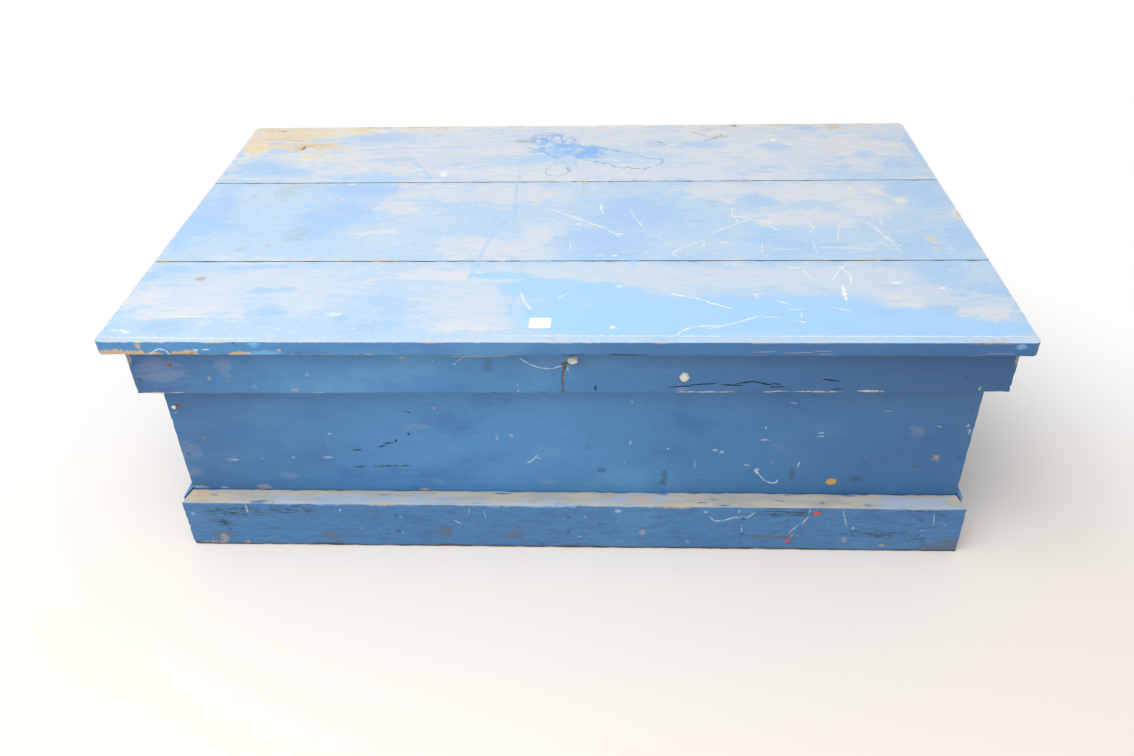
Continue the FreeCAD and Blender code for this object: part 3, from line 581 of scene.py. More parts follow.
front = painted("blue_front", "front_board", bare=(1, 1), ragged=7.0)
face = Face(front, on_front)
# Painted shade: the face darkens towards both ends, where the light falls off.
face.lay("painted_shade", face.spots([
    (500, 150, 330, 160), (-560, 150, 230, 220)],
    soft=0.95, shake=30, skin=400), BLUE_SHADE_AND_GRIME, 0.5, strength=0.75)
face.lay("rubbed", face.spots([
    (-455, 130, 14, 12), (-457, 97, 10, 7), (402, 164, 8, 8), (395, 172, 4, 3), (-176, 169, 15, 4),
    (-340, 92, 10, 5), (-405, 117, 8, 3), (-157, 85, 7, 3), (-25, 84, 9, 3)],
    soft=0.6, shake=2.0), shade(150, 156, 172), 0.6, streaked, 0.22)
face.lay("flecks", face.spots([
    (-330, 121, 1.8, 1.6), (-288, 122, 6, 1.5), (-368, 120, 1.3, 0.9), (-284, 144, 1, 1),
    (-280, 158, 3, 0.8), (-82, 153, 1.6, 3), (-65, 157, 2, 1.8), (74, 147, 1.4, 2.2), (68, 117, 1, 1),
    (118, 138, 1.3, 1), (173, 136, 3.4, 1.8), (181, 133, 3.4, 2.4), (230, 152, 5, 1.1),
    (293, 163, 3.6, 1), (293, 158, 4, 0.9), (257, 206, 4, 0.9), (364, 195, 5, 0.7), (242, 119, 1.3, 1.1),
    (229, 170, 1, 2.2), (460, 166, 2, 4), (457, 175, 1.6, 2), (224, 106, 2.6, 3.4), (-455, 73, 10, 2),
    (-425, 72, 5, 1.4), (75, 206, 0.8, 1.6), (-457, 188, 2, 1.2), (161, 94, 1, 1), (-403, 117, 5, 1)]),
    PALE_FLECK, 0.6, worn_away, 0.6)
face.lay("scratches", face.strokes([
    (2.6, (208, 115), (216, 113)),
    (3.0, (222, 106), (229, 97), (236, 89), (243, 86), (249, 87), (251, 92)),
    (2.4, (-48, 115), (-42, 119), (-36, 127)), (2.0, (-37, 124), (-32, 121)),
    (1.8, (272, 109), (273, 119)), (1.4, (150, 120), (151, 110)), (1.2, (420, 174), (428, 173))]),
    PALE_FLECK, 0.6, worn_away, 0.9)
face.lay("cracks", face.strokes([
    (3.2, (-258, 133), (-246, 134)), (3.0, (-227, 138), (-214, 140)), (2.6, (-218, 143), (-206, 145)),
    (3.0, (-204, 144), (-201, 151)), (2.2, (-258, 107), (-244, 107)), (2.8, (-233, 108), (-204, 109)),
    (2.4, (-201, 109), (-185, 110)), (1.6, (-188, 193), (-178, 188))]),
    CRACK_BLACK, 0.8, worn_away, lift=-0.5)
face.lay("smudges", face.spots([
    (40, 104, 6, 3), (115, 95, 4, 10), (266, 100, 3.4, 9), (24, 140, 1.4, 3), (343, 93, 6, 5),
    (350, 117, 3, 2), (410, 113, 4, 3), (113, 84, 5, 2)],
    soft=0.5, shake=1.6), SMUDGE, 0.6, streaked, 0.65)
face.lay("rust", face.spots([(-452, 198, 3.6, 3.2)], soft=0.5), RUST, 0.8)
face.lay("bare", face.spots([
    (-375, 74, 9, 3.4), (-175, 71, 7, 2.4), (-152, 196, 1.8, 1.8)],
    shake=2), BARE_WOOD, 0.8, worn_away, 0.9)
face.lay("orange drop", face.spots([(314, 89, 6.2, 4.8)], soft=0.2, shake=1.2), OLD_ORANGE, 0.5)
face.lay("drop", face.spots([(430, 126.5, 4.2, 4.2)], soft=0.5, shake=1.6), OLD_TAN, 0.6, worn_away, 0.9)
hole_x, hole_z = HOLE_AT
face.lay("open hole", face.strokes([
    (4, (hole_x, hole_z - 1), (hole_x, hole_z + 1))], shake=0.2), CRACK_BLACK, 0.9)
front.dress(board)


# ---- Nails of the carcase and plinth ----
# Wire nails driven flush and painted over with the boards, so only a faint ring and some rust show.
# One in the front's left edge was driven later: its domed head is still bright.

BRIGHT_STEEL = shade(214, 212, 206)
BRIGHT_NAIL_AT = (-456.8, 196.2)

painted_iron = Finish("painted_nail_heads", BLUE, 0.5)
# The heads take the darker blue of painted shade, like the shaded board ends they sit in.
paint = painted_iron.use(brushed_paint, Paint=BLUE_SHADE_AND_GRIME, Thin=BLUE_DEEP, Deep=BLUE_SHADE_AND_GRIME)
painted_iron.coat(1.0, paint["Colour"], 0.5)
bleeding = cloud(painted_iron.tree, painted_iron.place, 5, 3.0)
painted_iron.coat(times(painted_iron.tree, ease(painted_iron.tree, bleeding, 0.55, 0.7), 0.6), RUST, 0.85)
painted_iron.relief = times(painted_iron.tree, bleeding, 0.2)
painted_iron.dress(*[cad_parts[node] for node in
                     ("front_corner_nails", "back_corner_nails", "plinth_nails", "skirt_corner_nails")])

rusty_iron = Finish("rusty_nails", RUST, 0.85)
crust = cloud(rusty_iron.tree, rusty_iron.place, 2, 4.0, 0.7)
rusty_iron.coat(ease(rusty_iron.tree, crust, 0.4, 0.7), shade(74, 52, 42), 0.9)
rusty_iron.relief = times(rusty_iron.tree, crust, 0.3)
rusty_iron.dress(*[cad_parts[node] for node in ("bottom_nails", "runner_nails", "lid_nails")])

bpy.ops.object.select_all(action="DESELECT")
bpy.ops.mesh.primitive_uv_sphere_add(segments=20, ring_count=12, radius=1,
                                     location=Vector(on_front(*BRIGHT_NAIL_AT)) * MM,
                                     scale=(2.9 * MM, 1.5 * MM, 2.9 * MM))
head = bpy.context.object
head.name = "bright_nail_head"
bpy.ops.object.transform_apply(location=True, rotation=True, scale=True)
bpy.ops.object.shade_smooth()
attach(head, "chest")
bright = Finish("bright_nail", BRIGHT_STEEL, 0.35)
bright.shader.inputs["Metallic"].default_value = 0.6
scuffs = cloud(bright.tree, bright.place, 1.2, 3.0)
bright.coat(ease(bright.tree, scuffs, 0.55, 0.75), shade(150, 138, 124), 0.6)
bright.relief = times(bright.tree, scuffs, 0.15)
bright.dress(head)


# ---- Plinth ----
# A thick front board with mitred ends, and a thin slip on each end. Dust lies on the front board's
# top, its ends are kicked dark, and its face is the most knocked part of the chest.

PLINTH_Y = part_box("plinth_front")[0].y / MM
PLINTH_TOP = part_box("plinth_front")[1].z / MM
CARCASE_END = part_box("front_board")[1].x / MM
PLINTH_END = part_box("plinth_front")[1].x / MM
LEDGE_DUST = shade(190, 182, 166)
LEDGE_BLUE = shade(156, 184, 214)
LEDGE_TAN = shade(200, 172, 138)
KICKED = shade(38, 58, 60)
RED_PAINT = shade(196, 70, 66)
PINK_PAINT = shade(178, 120, 140)


def on_plinth(x, z):
    return (x, PLINTH_Y, z)


def on_ledge(x, y):
    return (x, y, PLINTH_TOP)


mitre_run = PLINTH_END - CARCASE_END
mitre_rise = FACE_Y - PLINTH_Y
mitres = [(Vector((sign * CARCASE_END, FACE_Y, 0)) * MM, (sign * mitre_rise, mitre_run, 0))
          for sign in SIDES.values()]
board = plank("plinth_front_plank", "plinth_front", (240, 6, 17), arris=1.5, chip=1.1, sawn=mitres)
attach(board, "chest")

plinth = painted("blue_plinth", "plinth_front", width=0.8, ragged=10.0)
tree = plinth.tree
face = Face(plinth, on_plinth)
kicked = face.spots([
    (-408, 57, 40, 8), (-335, 60, 34, 6), (-424, 38, 16, 5), (262, 62, 40, 5), (372, 28, 34, 5),
    (420, 20, 12, 3), (442, 60, 5, 2), (-35, 6, 7, 2.4), (40, 40, 5, 1.8), (420, 66, 30, 2)],
    soft=0.7, shake=4)
plinth.coat(0.35, BLUE_SHADE_AND_GRIME, 0.6)
mottle = ease(tree, cloud(tree, plinth.place, (20, 4, 3.4), 6.0, 0.8), 0.46, 0.64)
plinth.coat(times(tree, mottle, 0.42), shade(58, 74, 92), 0.7)
scuffed = ease(tree, cloud(tree, plinth.place, (9, 3, 3.4), 5.0, 0.8), 0.58, 0.70)
plinth.coat(times(tree, scuffed, 0.3), PALE_FLECK, 0.7)
splintered = ease(tree, cloud(tree, plinth.place, (16, 3, 1.8), 4.0, 0.7), 0.48, 0.56)
plinth.coat(times(tree, times(tree, kicked, splintered), 0.95), KICKED, 0.7)
# Grime, and one big spot at the right end's foot that is painted shade on its rounded corner.
face.lay("grime_and_corner_shade", face.spots([
    (-65, 22, 12, 7), (-150, 26, 10, 8), (-290, 18, 16, 6), (250, 22, 26, 5), (462, 8, 30, 14),
    (-430, 18, 14, 6)], soft=0.7, shake=4), shade(96, 96, 96), 0.8, streaked, 0.55)
face.lay("bare", face.spots([
    (-445, 3, 16, 3.5), (-430, 12, 5, 7), (-402, 5, 4, 2.4), (380, 10, 4, 2), (90, 28, 3, 4.4),
    (334, 18, 2.6, 5), (-152, 1, 26, 1.6), (98, 1, 14, 1.8), (145, 13, 2, 2)],
    shake=2.2), BARE_WOOD, 0.8, worn_away, 0.9)
face.lay("flecks", face.spots([
    (-277, 60, 1.2, 2), (-204, 24, 1.2, 2.4), (-204, 50, 1.6, 1.4), (342, 38, 1.6, 1.8),
    (165, 62, 2, 1.6), (425, 35, 2.6, 1), (-392, 61, 1.6, 6), (-460, 52, 3, 2), (60, 62, 4, 3),
    (12, 20, 3, 0.8), (230, 3, 3, 1), (-232, 30, 1, 1), (20, 52, 1, 1.6), (-254, 30, 1, 1),
    (450, 44, 1, 1)]), PALE_FLECK, 0.6, worn_away, 0.6)
face.lay("scratches", face.strokes([
    (2.6, (170, 55), (175, 48), (185, 48), (200, 54), (215, 54), (223, 62)),
    (1.8, (-140, 46), (-130, 38)), (1.8, (210, 25), (209, 40)), (1.4, (204, 60), (204, 70)),
    (1.4, (433, 65), (436, 44)), (2.4, (287, 57), (280, 43)), (1.6, (326, 68), (334, 40)),
    (1.6, (288, 70), (287, 60)), (1.8, (276, 42), (266, 28)), (1.2, (-118, 66), (-121, 54)),
    (1.2, (-102, 62), (-100, 50))]), PALE_FLECK, 0.6, worn_away, 0.8)
face.lay("red paint", face.spots([(296, 61, 4.6, 3.2), (265.5, 15.5, 2, 3.8)], shake=1), RED_PAINT, 0.5)
face.lay("pink paint", face.strokes([(1.6, (267, 19), (273, 29))]), PINK_PAINT, 0.5)
height = add(tree, "SeparateXYZ", {0: plinth.place}).outputs[2]
damp = maths(tree, "ADD", height, times(tree, cloud(tree, plinth.place, (30, 30, 6), 4.0), -9.0))
plinth.coat(ease(tree, damp, 0.5, -3.0), FLOOR_DIRT, 0.9)

ledge = times(tree, ease(tree, plinth.facing[2], 0.45, 0.75),
              ease(tree, cloud(tree, plinth.place, (40, 9, 9), 5.0, 0.65), 0.30, 0.42))
film = blend(tree, ease(tree, cloud(tree, plinth.place, (55, 14, 14), 4.0), 0.42, 0.62), LEDGE_DUST,
             shade(172, 170, 164))
plinth.coat(ledge, film, 0.9)
face = Face(plinth, on_ledge)
face.lay("clean", face.spots([
    (-250, -308, 130, 9), (76, -302, 34, 14), (415, -305, 50, 12), (0, -311, 60, 4), (-60, -313, 60, 3)],
    soft=0.7, shake=10, skin=3.0), LEDGE_BLUE, 0.6, streaked, 0.6)
face.lay("rubbed tan", face.spots([
    (50, -296, 12, 4), (85, -301, 16, 6), (-455, -300, 14, 8), (-225, -314, 15, 2), (125, -314, 25, 2),
    (420, -292, 40, 1.6), (-290, -292, 40, 2)],
    soft=0.6, shake=5, skin=3.0), LEDGE_TAN, 0.8, streaked, 0.7)
plinth.dress(board)

for side in SIDES:
    slip = painted(f"blue_slip_{side}", f"plinth_{side}", along="Y", width=0.8, ragged=9.0)
    weathered(slip, along="Y")
    slip.dress(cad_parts[f"plinth_{side}"])


# ---- Skirt ----
# Three boards on edge under the lid, lapping over the carcase. The front one tapers to the right
# and has opened along the grain near its lower edge.

SKIRT_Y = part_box("lid_skirt_front")[0].y / MM
SKIRT_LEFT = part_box("lid_skirt_front")[0].x
SKIRT_LOW_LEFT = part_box("lid_skirt_left")[0].z
SKIRT_LOW_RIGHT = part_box("lid_skirt_right")[0].z
THREAD = shade(190, 200, 206)
DRIP = shade(92, 88, 76)
LICHEN = shade(120, 170, 110)
SPLIT_DEEP = 1.6
SPLIT_GAPE = 0.55


def on_skirt(x, z):
    return (x, SKIRT_Y, z)


rise = SKIRT_LOW_RIGHT - SKIRT_LOW_LEFT
taper = [(Vector((SKIRT_LEFT, 0, SKIRT_LOW_LEFT)), (rise, 0, 2 * SKIRT_LEFT))]
board = plank("skirt_front_plank", "lid_skirt_front", (250, 3, 16), arris=1.5, chip=1.1, sawn=taper)

SPLITS = [
    ((113, 240.5), (140, 243)), ((138, 244), (166, 246)), ((170, 244.6), (195, 243.4)),
    ((188, 246), (208, 249.4)), ((205, 249.2), (228, 243.6)), ((226, 246.4), (237, 245)),
    ((224, 241), (240, 242)), ((280, 252.4), (300, 249.4)), ((292, 238.4), (303, 239.4))]
for start, end in SPLITS:
    start, end = Vector(on_skirt(*start)) * MM, Vector(on_skirt(*end)) * MM
    run = end - start
    bpy.ops.object.select_all(action="DESELECT")
    bpy.ops.mesh.primitive_ico_sphere_add(subdivisions=2, radius=1, location=(start + end) / 2,
                                          rotation=(0, -math.atan2(run.z, run.x), 0),
                                          scale=(run.length / 2, SPLIT_DEEP * MM, SPLIT_GAPE * MM))
    hollow(board, bpy.context.object)
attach(board, "lid")

skirt = painted("blue_skirt_front", "lid_skirt_front", bare=(1, 1), width=0.6, ragged=8.0)
tree = skirt.tree
face = Face(skirt, on_skirt)
# Painted shade: the skirt darkens towards both ends, where the light falls off.
face.lay("painted_shade", face.spots([
    (500, 260, 400, 200), (-560, 260, 160, 160)],
    soft=0.95, shake=30, skin=400), BLUE_SHADE_AND_GRIME, 0.5, strength=0.95)
face.lay("haze", face.spots([
    (-450, 258, 26, 16), (-376, 264, 8, 14), (-346, 240, 2.4, 2.4), (130, 239, 6, 4)],
    soft=0.7, shake=3), shade(176, 178, 190), 0.6, streaked, 0.20)
face.lay("dull", face.spots([
    (352, 264, 6, 4), (-83, 268, 5, 9), (15, 274, 9, 7)], soft=0.7, shake=2), SMUDGE, 0.6, strength=0.4)
face.lay("splits",
         face.strokes([(2.6, start, end) for start, end in SPLITS], shake=0.3), CRACK_BLACK, 0.9, worn_away)
face.lay("marks", face.spots([
    (34, 239.5, 1.6, 4), (433, 255, 1.6, 1.2), (-78, 232, 2, 1)],
    shake=0.8), CRACK_BLACK, 0.8, strength=0.8)
face.lay("drips", face.strokes([
    (6, (1, 273), (0, 264)), (3.4, (-1, 266), (-2.5, 252), (-1.5, 240), (-3, 231)),
    (5, (-3, 271), (5, 274))], shake=1.0), DRIP, 0.8)
face.lay("rust", face.spots([(-436, 268.5, 2.4, 2.4)], soft=0.4), RUST, 0.8)
face.lay("bare", face.spots([
    (-481, 278, 3.4, 9), (482, 278, 2.6, 8), (-302, 234.5, 4.4, 2.6), (-396, 251, 2, 2),
    (-176, 279, 3, 1.2), (180, 234, 8, 1.6),
     (335, 235.6, 9, 1.8)], shake=1.2), BARE_WOOD, 0.8, worn_away, 0.9)
face.lay("flecks", face.spots([
    (-284, 256.5, 2.8, 2.6), (-483, 249, 1.2, 2.6), (-120, 271, 1.6, 1.2), (-52, 243, 1, 1.2),
    (-52, 235, 1, 1.2), (-143, 275, 1, 1), (4, 265, 1.4, 3.2)]), PALE_FLECK, 0.6, worn_away, 0.6)
face.lay("lichen", face.spots([(450, 240, 1.2, 3)]), LICHEN, 0.7)
face.lay("thread", face.strokes([
    (1.6, (-48, 279), (-38, 271), (-26, 266), (-14, 265), (-2, 269)), (1.0, (-125, 281), (-60, 282)),
    (0.9, (-118, 273), (-109, 280))], shake=0.4), THREAD, 0.7)
face.lay("lower edge", face.strokes([
    (4, (-470, 230.0), (-452, 230.2)), (3, (-447, 230.2), (-430, 230.4)), (4, (218, 234.4), (250, 234.6)),
    (4, (250, 234.7), (305, 235.0)), (6, (318, 235.4), (348, 235.6)), (3, (-284, 231.2), (-268, 231.4)),
    (4, (120, 233.6), (176, 234.0))], shake=0.8), shade(208, 196, 176), 0.7, worn_away, 0.9)
skirt.dress(board)

for side, sign in SIDES.items():
    board = plank(f"skirt_plank_{side}", f"lid_skirt_{side}", (2, 120, 12), arris=1.3, chip=0.9)
    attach(board, "lid")
    finish = painted(f"blue_skirt_{side}", f"lid_skirt_{side}", bare=(0, -sign), along="Y", ragged=9.0)
    weathered(finish, along="Y", turn=(0.2, 0, math.pi / 2))
    finish.dress(board)


# ---- Cocoons on the skirt ----
# Two small spun cocoons stuck to the front skirt board, off-white and fibrous.
# One hangs just under the lid's edge, the other lies lower down.

COCOON_WHITE = shade(228, 224, 216)
COCOON_SHADE = shade(168, 152, 132)
COCOON_THICK = 4.6
COCOON_WRINKLE = 1.6

spun = Finish("spun_cocoon", COCOON_WHITE, 0.9)
strands = cloud(spun.tree, spun.place, (1.6, 1.0, 0.5), 4.0, 0.7)
hollows = cloud(spun.tree, spun.place, 3.2, 2.0)
spun.coat(ease(spun.tree, strands, 0.5, 0.8), shade(196, 188, 176), 0.95)
spun.coat(times(spun.tree, ease(spun.tree, hollows, 0.60, 0.72), 0.8), COCOON_SHADE, 0.95)
spun.relief = times(spun.tree, strands, 0.7)
wrinkles = lumps("cocoon_wrinkles", 4, 1.8, 1.0)
cocoons = []
for name, across, up, half_width, half_height in (("cocoon_high", 9.5, 277, 5.8, 4.8),
                                                  ("cocoon_low", 131, 255, 5.2, 5.4)):
    bpy.ops.object.select_all(action="DESELECT")
    bpy.ops.mesh.primitive_uv_sphere_add(segments=36, ring_count=24, radius=1,
                                         location=Vector(on_skirt(across, up)) * MM,
                                         scale=Vector((half_width, COCOON_THICK, half_height)) * MM)
    cocoon = bpy.context.object
    cocoon.name = name
    bpy.ops.object.transform_apply(location=True, rotation=True, scale=True)
    modify(cocoon, "DISPLACE", texture=wrinkles, mid_level=0.5, strength=COCOON_WRINKLE * MM)
    bpy.ops.object.shade_smooth()
    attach(cocoon, "lid")
    cocoons.append(cocoon)
spun.dress(*cocoons)


# ---- Lid boards ----
# Three wide planks laid lengthwise and nailed down on the skirt. Sun, dust and damp have bleached
# the blue on top to a pale haze, worn it to the wood at the back left, and left water rings.
# The top's blue is painted paler still as painted highlight, for the light from above and its sheen.

LID_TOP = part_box("lid_board_front")[1].z / MM
LID_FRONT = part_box("lid_board_front")[0].y / MM
LID_CORNER = 7
# Blues of the lid's top: faded, and paler still as painted highlight for the light from above and the
# sheen.
FADED_AND_SHEEN = shade(170, 194, 218)
FADED_AND_SHEEN_THIN = shade(182, 200, 217)
FADED_AND_SHEEN_DEEP = shade(153, 186, 222)
SKY_BLUE = shade(150, 194, 232)
CLEAN_BLUE = shade(122, 170, 220)
HAZE = shade(198, 204, 212)
BEIGE = shade(207, 207, 209)
CREAM = shade(222, 214, 198)
BLEACHED_WOOD = shade(217, 198, 166)
WOOD_TAN = shade(204, 178, 144)
RING_BLUE = shade(112, 144, 184)
SEAM_SHADE = shade(58, 56, 54)
OLIVE_DIRT = shade(150, 160, 130)


def on_lid(x, y):
    return (x, y, LID_TOP)


def on_lip(x, z):
    return (x, LID_FRONT, z)


def corner_cuts(side, edge_y, away):
    """Three saw cuts that round one corner of the lid. away is +1 at the back and -1 at the front."""
    corner_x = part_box("lid_board_front")[0 if side < 0 else 1].x
    centre = Vector((corner_x - side * LID_CORNER * MM, edge_y - away * LID_CORNER * MM, 0))
    cuts = []
    for angle in (22.5, 45, 67.5):
        out = Vector((side * math.cos(math.radians(angle)), away * math.sin(math.radians(angle)), 0))
        cuts.append((centre + out * LID_CORNER * MM, out))
    return cuts


# Sun, dust and damp on the lid: drifts of haze, streaks of dust, bluer drifts, pores and grit.
# Each layer goes on with its strength, its colour and its roughness.
LID_LAYERS = {"Haze": (0.8, HAZE, 0.7), "Dust": (0.7, BEIGE, 0.8), "Blue": (0.6, SKY_BLUE, 0.55),
              "Pores": (0.5, SKY_BLUE, 0.6), "Grit": (0.65, CREAM, 0.8)}
lid_weather, given, made = recipe("Lid Weather", {"Dusty": 0.1}, {layer: "Float" for layer in LID_LAYERS})
drift = cloud(lid_weather, given["Place"], (95, 60, 60), 4.0, 0.62)
dust = cloud(lid_weather, given["Place"], (150, 22, 22), 4.0, 0.7)
hazy = ease(lid_weather, maths(lid_weather, "ADD", drift, given["Dusty"]), 0.62, 0.84)
dusty_streaks = ease(lid_weather, maths(lid_weather, "ADD", dust, given["Dusty"]), 0.66, 0.86)
bluer_drift = ease(lid_weather, drift, 0.46, 0.30)
for layer, patch in (("Haze", hazy), ("Dust", dusty_streaks), ("Blue", bluer_drift)):
    streaky = add(lid_weather, "Group", {"Place": given["Place"], "Mark": patch}, node_tree=streaked)
    lid_weather.links.new(streaky.outputs["Mask"], made[layer])
pores = cloud(lid_weather, given["Place"], (18, 4, 4), 5.0, 0.8)
lid_weather.links.new(ease(lid_weather, pores, 0.50, 0.66), made["Pores"])
grit = cloud(lid_weather, given["Place"], (7, 5, 5), 5.0, 0.8)
lid_weather.links.new(ease(lid_weather, grit, 0.54, 0.68), made["Grit"])


def lid_finish(name, node, dusty, seams):
    """The lid's weathered paint, its top made paler as painted highlight. dusty is how much of it has hazed
    over; seams are the sides, +1 at the back and -1 at the front, that meet another board, and these
    get painted shade."""
    finish = painted(name, node, bare=(2, -1), width=0.7, ragged=8.0)
    tree = finish.tree
    # The top takes the faded blues, made paler as painted highlight.
    upward = times(tree, ease(tree, finish.facing[2], 0.5, 0.8), finish.covered)
    faded_and_sheen = finish.use(brushed_paint, Paint=FADED_AND_SHEEN, Thin=FADED_AND_SHEEN_THIN, Deep=FADED_AND_SHEEN_DEEP)
    finish.coat(upward, faded_and_sheen["Colour"], 0.55)
    weather = finish.use(lid_weather, Dusty=dusty)
    for layer, (strength, colour, rough) in LID_LAYERS.items():
        finish.coat(times(tree, times(tree, weather[layer], strength), upward), colour, rough)
    bare = maths(tree, "SUBTRACT", 1.0, finish.covered)
    bare = times(tree, bare, ease(tree, finish.facing[2], -0.2, 0.2))
    finish.coat(times(tree, bare, 0.6), CREAM, 0.8)
    # Painted shade on the board sides that face another board, down in the seam's gap.
    for sign in seams:
        wall = ease(tree, times(tree, finish.facing[1], float(sign)), 0.35, 0.75)
        finish.coat(times(tree, wall, 0.92), SEAM_SHADE, 0.9)
    return finish


# The back board: bare at the left end, hazed grey all along, a mottled damp patch and two rings.
back_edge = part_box("lid_board_back")[1].y
corners = corner_cuts(-1, back_edge, 1) + corner_cuts(1, back_edge, 1)
board = plank("lid_plank_back", "lid_board_back", (250, 52, 4), arris=0.8, chip=0.5, trimmed=corners)
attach(board, "lid")

back = lid_finish("faded_sheen_lid_back", "lid_board_back", 0.20, (-1,))
tree = back.tree
face = Face(back, on_lid)
face.lay("grey", face.spots([
    (280, 185, 170, 70), (-250, 180, 160, 60), (40, 250, 300, 40), (60, 110, 240, 28)],
    soft=0.7, shake=30), shade(206, 208, 212), 0.75, streaked, 0.65)
face.lay("beige", face.spots([
    (-250, 125, 26, 14), (-300, 165, 60, 16), (260, 262, 90, 18), (400, 205, 60, 40), (-330, 255, 90, 22),
    (420, 272, 60, 14), (0, 275, 90, 10), (180, 255, 26, 30)],
    soft=0.7, shake=16), BEIGE, 0.8, streaked, 0.65)
face.lay("bluer", face.spots([
    (-300, 245, 46, 20), (-455, 140, 40, 24), (115, 210, 14, 9), (350, 270, 15, 10), (415, 170, 14, 14),
    (450, 130, 22, 16), (185, 208, 30, 12), (290, 200, 24, 16), (-410, 120, 30, 12), (-275, 160, 36, 9),
    (490, 190, 8, 60)], soft=0.7, shake=9), FADED_AND_SHEEN_DEEP, 0.6, streaked, 0.62)
damp = face.spots([
    (-45, 238, 34, 24), (-20, 205, 38, 20), (-55, 205, 22, 20), (-15, 178, 22, 14), (24, 185, 20, 26),
    (5, 205, 14, 10)], soft=0.5, shake=9)
mottle = ease(tree, cloud(tree, back.place, (14, 12, 12), 5.0, 0.7), 0.44, 0.60)
back.coat(times(tree, times(tree, damp, mottle), 0.9), CLEAN_BLUE, 0.6)
face.lay("soaked", face.spots([
    (22, 185, 12, 22), (-20, 208, 14, 8), (6, 170, 10, 10)],
    soft=0.5, shake=4), shade(116, 168, 222), 0.6, strength=0.8)
face.lay("rings", face.strokes([
    (4.5, (30, 205), (45, 192), (70, 184), (88, 172), (100, 160), (120, 157), (125, 148), (122, 135),
     (108, 130), (96, 121), (80, 126), (60, 128), (48, 138), (36, 148), (22, 152), (8, 158)),
    (3.4, (-22, 149), (-12, 138), (-7, 122), (-12, 106), (-24, 99), (-38, 104), (-41, 118),
     (-36, 134), (-24, 146)),
    (4.0, (-70, 225), (-66, 246), (-52, 257), (-34, 259), (-26, 246), (-24, 226), (-20, 218)),
    (3.4, (-66, 222), (-60, 236), (-48, 232), (-44, 250)),
    (3.4, (-24, 246), (-8, 236), (0, 222), (4, 206)),
    (4.0, (-72, 206), (-62, 190), (-48, 186), (-36, 170), (-24, 163))],
    shake=3.5), RING_BLUE, 0.6, worn_away, 0.8)
face.lay("olive", face.spots([
    (-80, 226, 14, 6), (215, 240, 12, 5), (-430, 205, 6, 10)],
    soft=0.6, shake=4), OLIVE_DIRT, 0.8, strength=0.5)
face.lay("ring dirt", face.strokes([
    (2.6, (-14, 132), (-8, 116)), (2.8, (190, 222), (214, 240), (218, 250)),
    (2.6, (120, 222), (128, 214), (133, 208))], shake=1.5), shade(126, 128, 104), 0.8, strength=0.7)
face.lay("sweep", face.strokes([
    (7, (-235, 152), (-218, 128), (-200, 92)), (5, (-330, 196), (-150, 208)), (6, (-77, 108), (-76, 86))],
    shake=3), FADED_AND_SHEEN_DEEP, 0.6, strength=0.55)
face.lay("cream", face.spots([
    (-450, 262, 70, 34), (-370, 272, 50, 22), (-482, 200, 18, 40), (-385, 175, 28, 10),
    (-280, 284, 120, 12), (200, 287, 300, 6), (40, 288, 240, 5)],
    soft=0.55, shake=18), CREAM, 0.8, streaked, 0.75)
worn = face.spots([
    (-455, 262, 80, 30), (-430, 214, 66, 15), (-484, 222, 18, 34), (-372, 212, 30, 9), (-388, 176, 20, 6),
    (-345, 272, 24, 12), (-250, 287, 80, 5)], soft=0.5, shake=16)
patchy = ease(tree, cloud(tree, back.place, (46, 5, 5), 6.0, 0.75), 0.40, 0.52)
back.coat(times(tree, worn, patchy), BLEACHED_WOOD, 0.85)
tan = face.spots([
    (-395, 213, 26, 9), (-415, 208, 8, 16), (-470, 275, 24, 8), (-330, 287, 16, 4), (310, 287, 22, 5),
    (388, 280, 8, 14), (395, 290, 50, 4), (-258, 289, 10, 3), (-440, 240, 30, 7)], soft=0.6, shake=8)
back.coat(times(tree, times(tree, back.use(streaked, Mark=tan)["Mask"], 0.9), patchy), WOOD_TAN, 0.85)
face.lay("brown", face.spots([
    (-325, 288, 6, 3), (-258, 289, 7, 3.6), (-410, 205, 3, 9), (-458, 274, 4, 3), (240, 284, 4, 6)],
    soft=0.5, shake=3), shade(138, 110, 84), 0.85, worn_away, 0.9)
crumbs = face.spots([
    (330, 284, 80, 9), (410, 280, 50, 13), (190, 281, 70, 8), (-300, 287, 60, 6), (-235, 287, 50, 7),
    (-440, 250, 50, 24), (-410, 212, 24, 8)], soft=0.6, shake=8)
crumbled = ease(tree, cloud(tree, back.place, (5, 3, 3), 4.0, 0.75), 0.54, 0.64)
back.coat(times(tree, times(tree, crumbs, crumbled), 0.55), shade(150, 130, 102), 0.85)
face.lay("twigs", face.strokes([
    (3.4, (-318, 291), (-290, 286)), (2.6, (-262, 293), (-228, 284)), (2.4, (-250, 284), (-236, 292)),
    (2.2, (170, 262), (196, 240)), (2.0, (186, 262), (214, 270)), (2.2, (225, 276), (240, 286)),
    (1.8, (120, 222), (140, 214))], shake=1.5), shade(118, 104, 84), 0.85, worn_away, 0.9)
face.lay("white", face.spots([
    (292, 226, 4, 4), (315, 207, 3, 3), (-186, 111, 5, 8), (-184, 104, 4, 4)],
    soft=0.6, shake=1.5), shade(236, 234, 226), 0.7, worn_away, 0.9)
back.dress(board)

# The middle board: pale blue with beige drifts, and scratched all over its right half.
board = plank("lid_plank_middle", "lid_board_middle", (250, 56, 4), arris=0.8, chip=0.5)
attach(board, "lid")

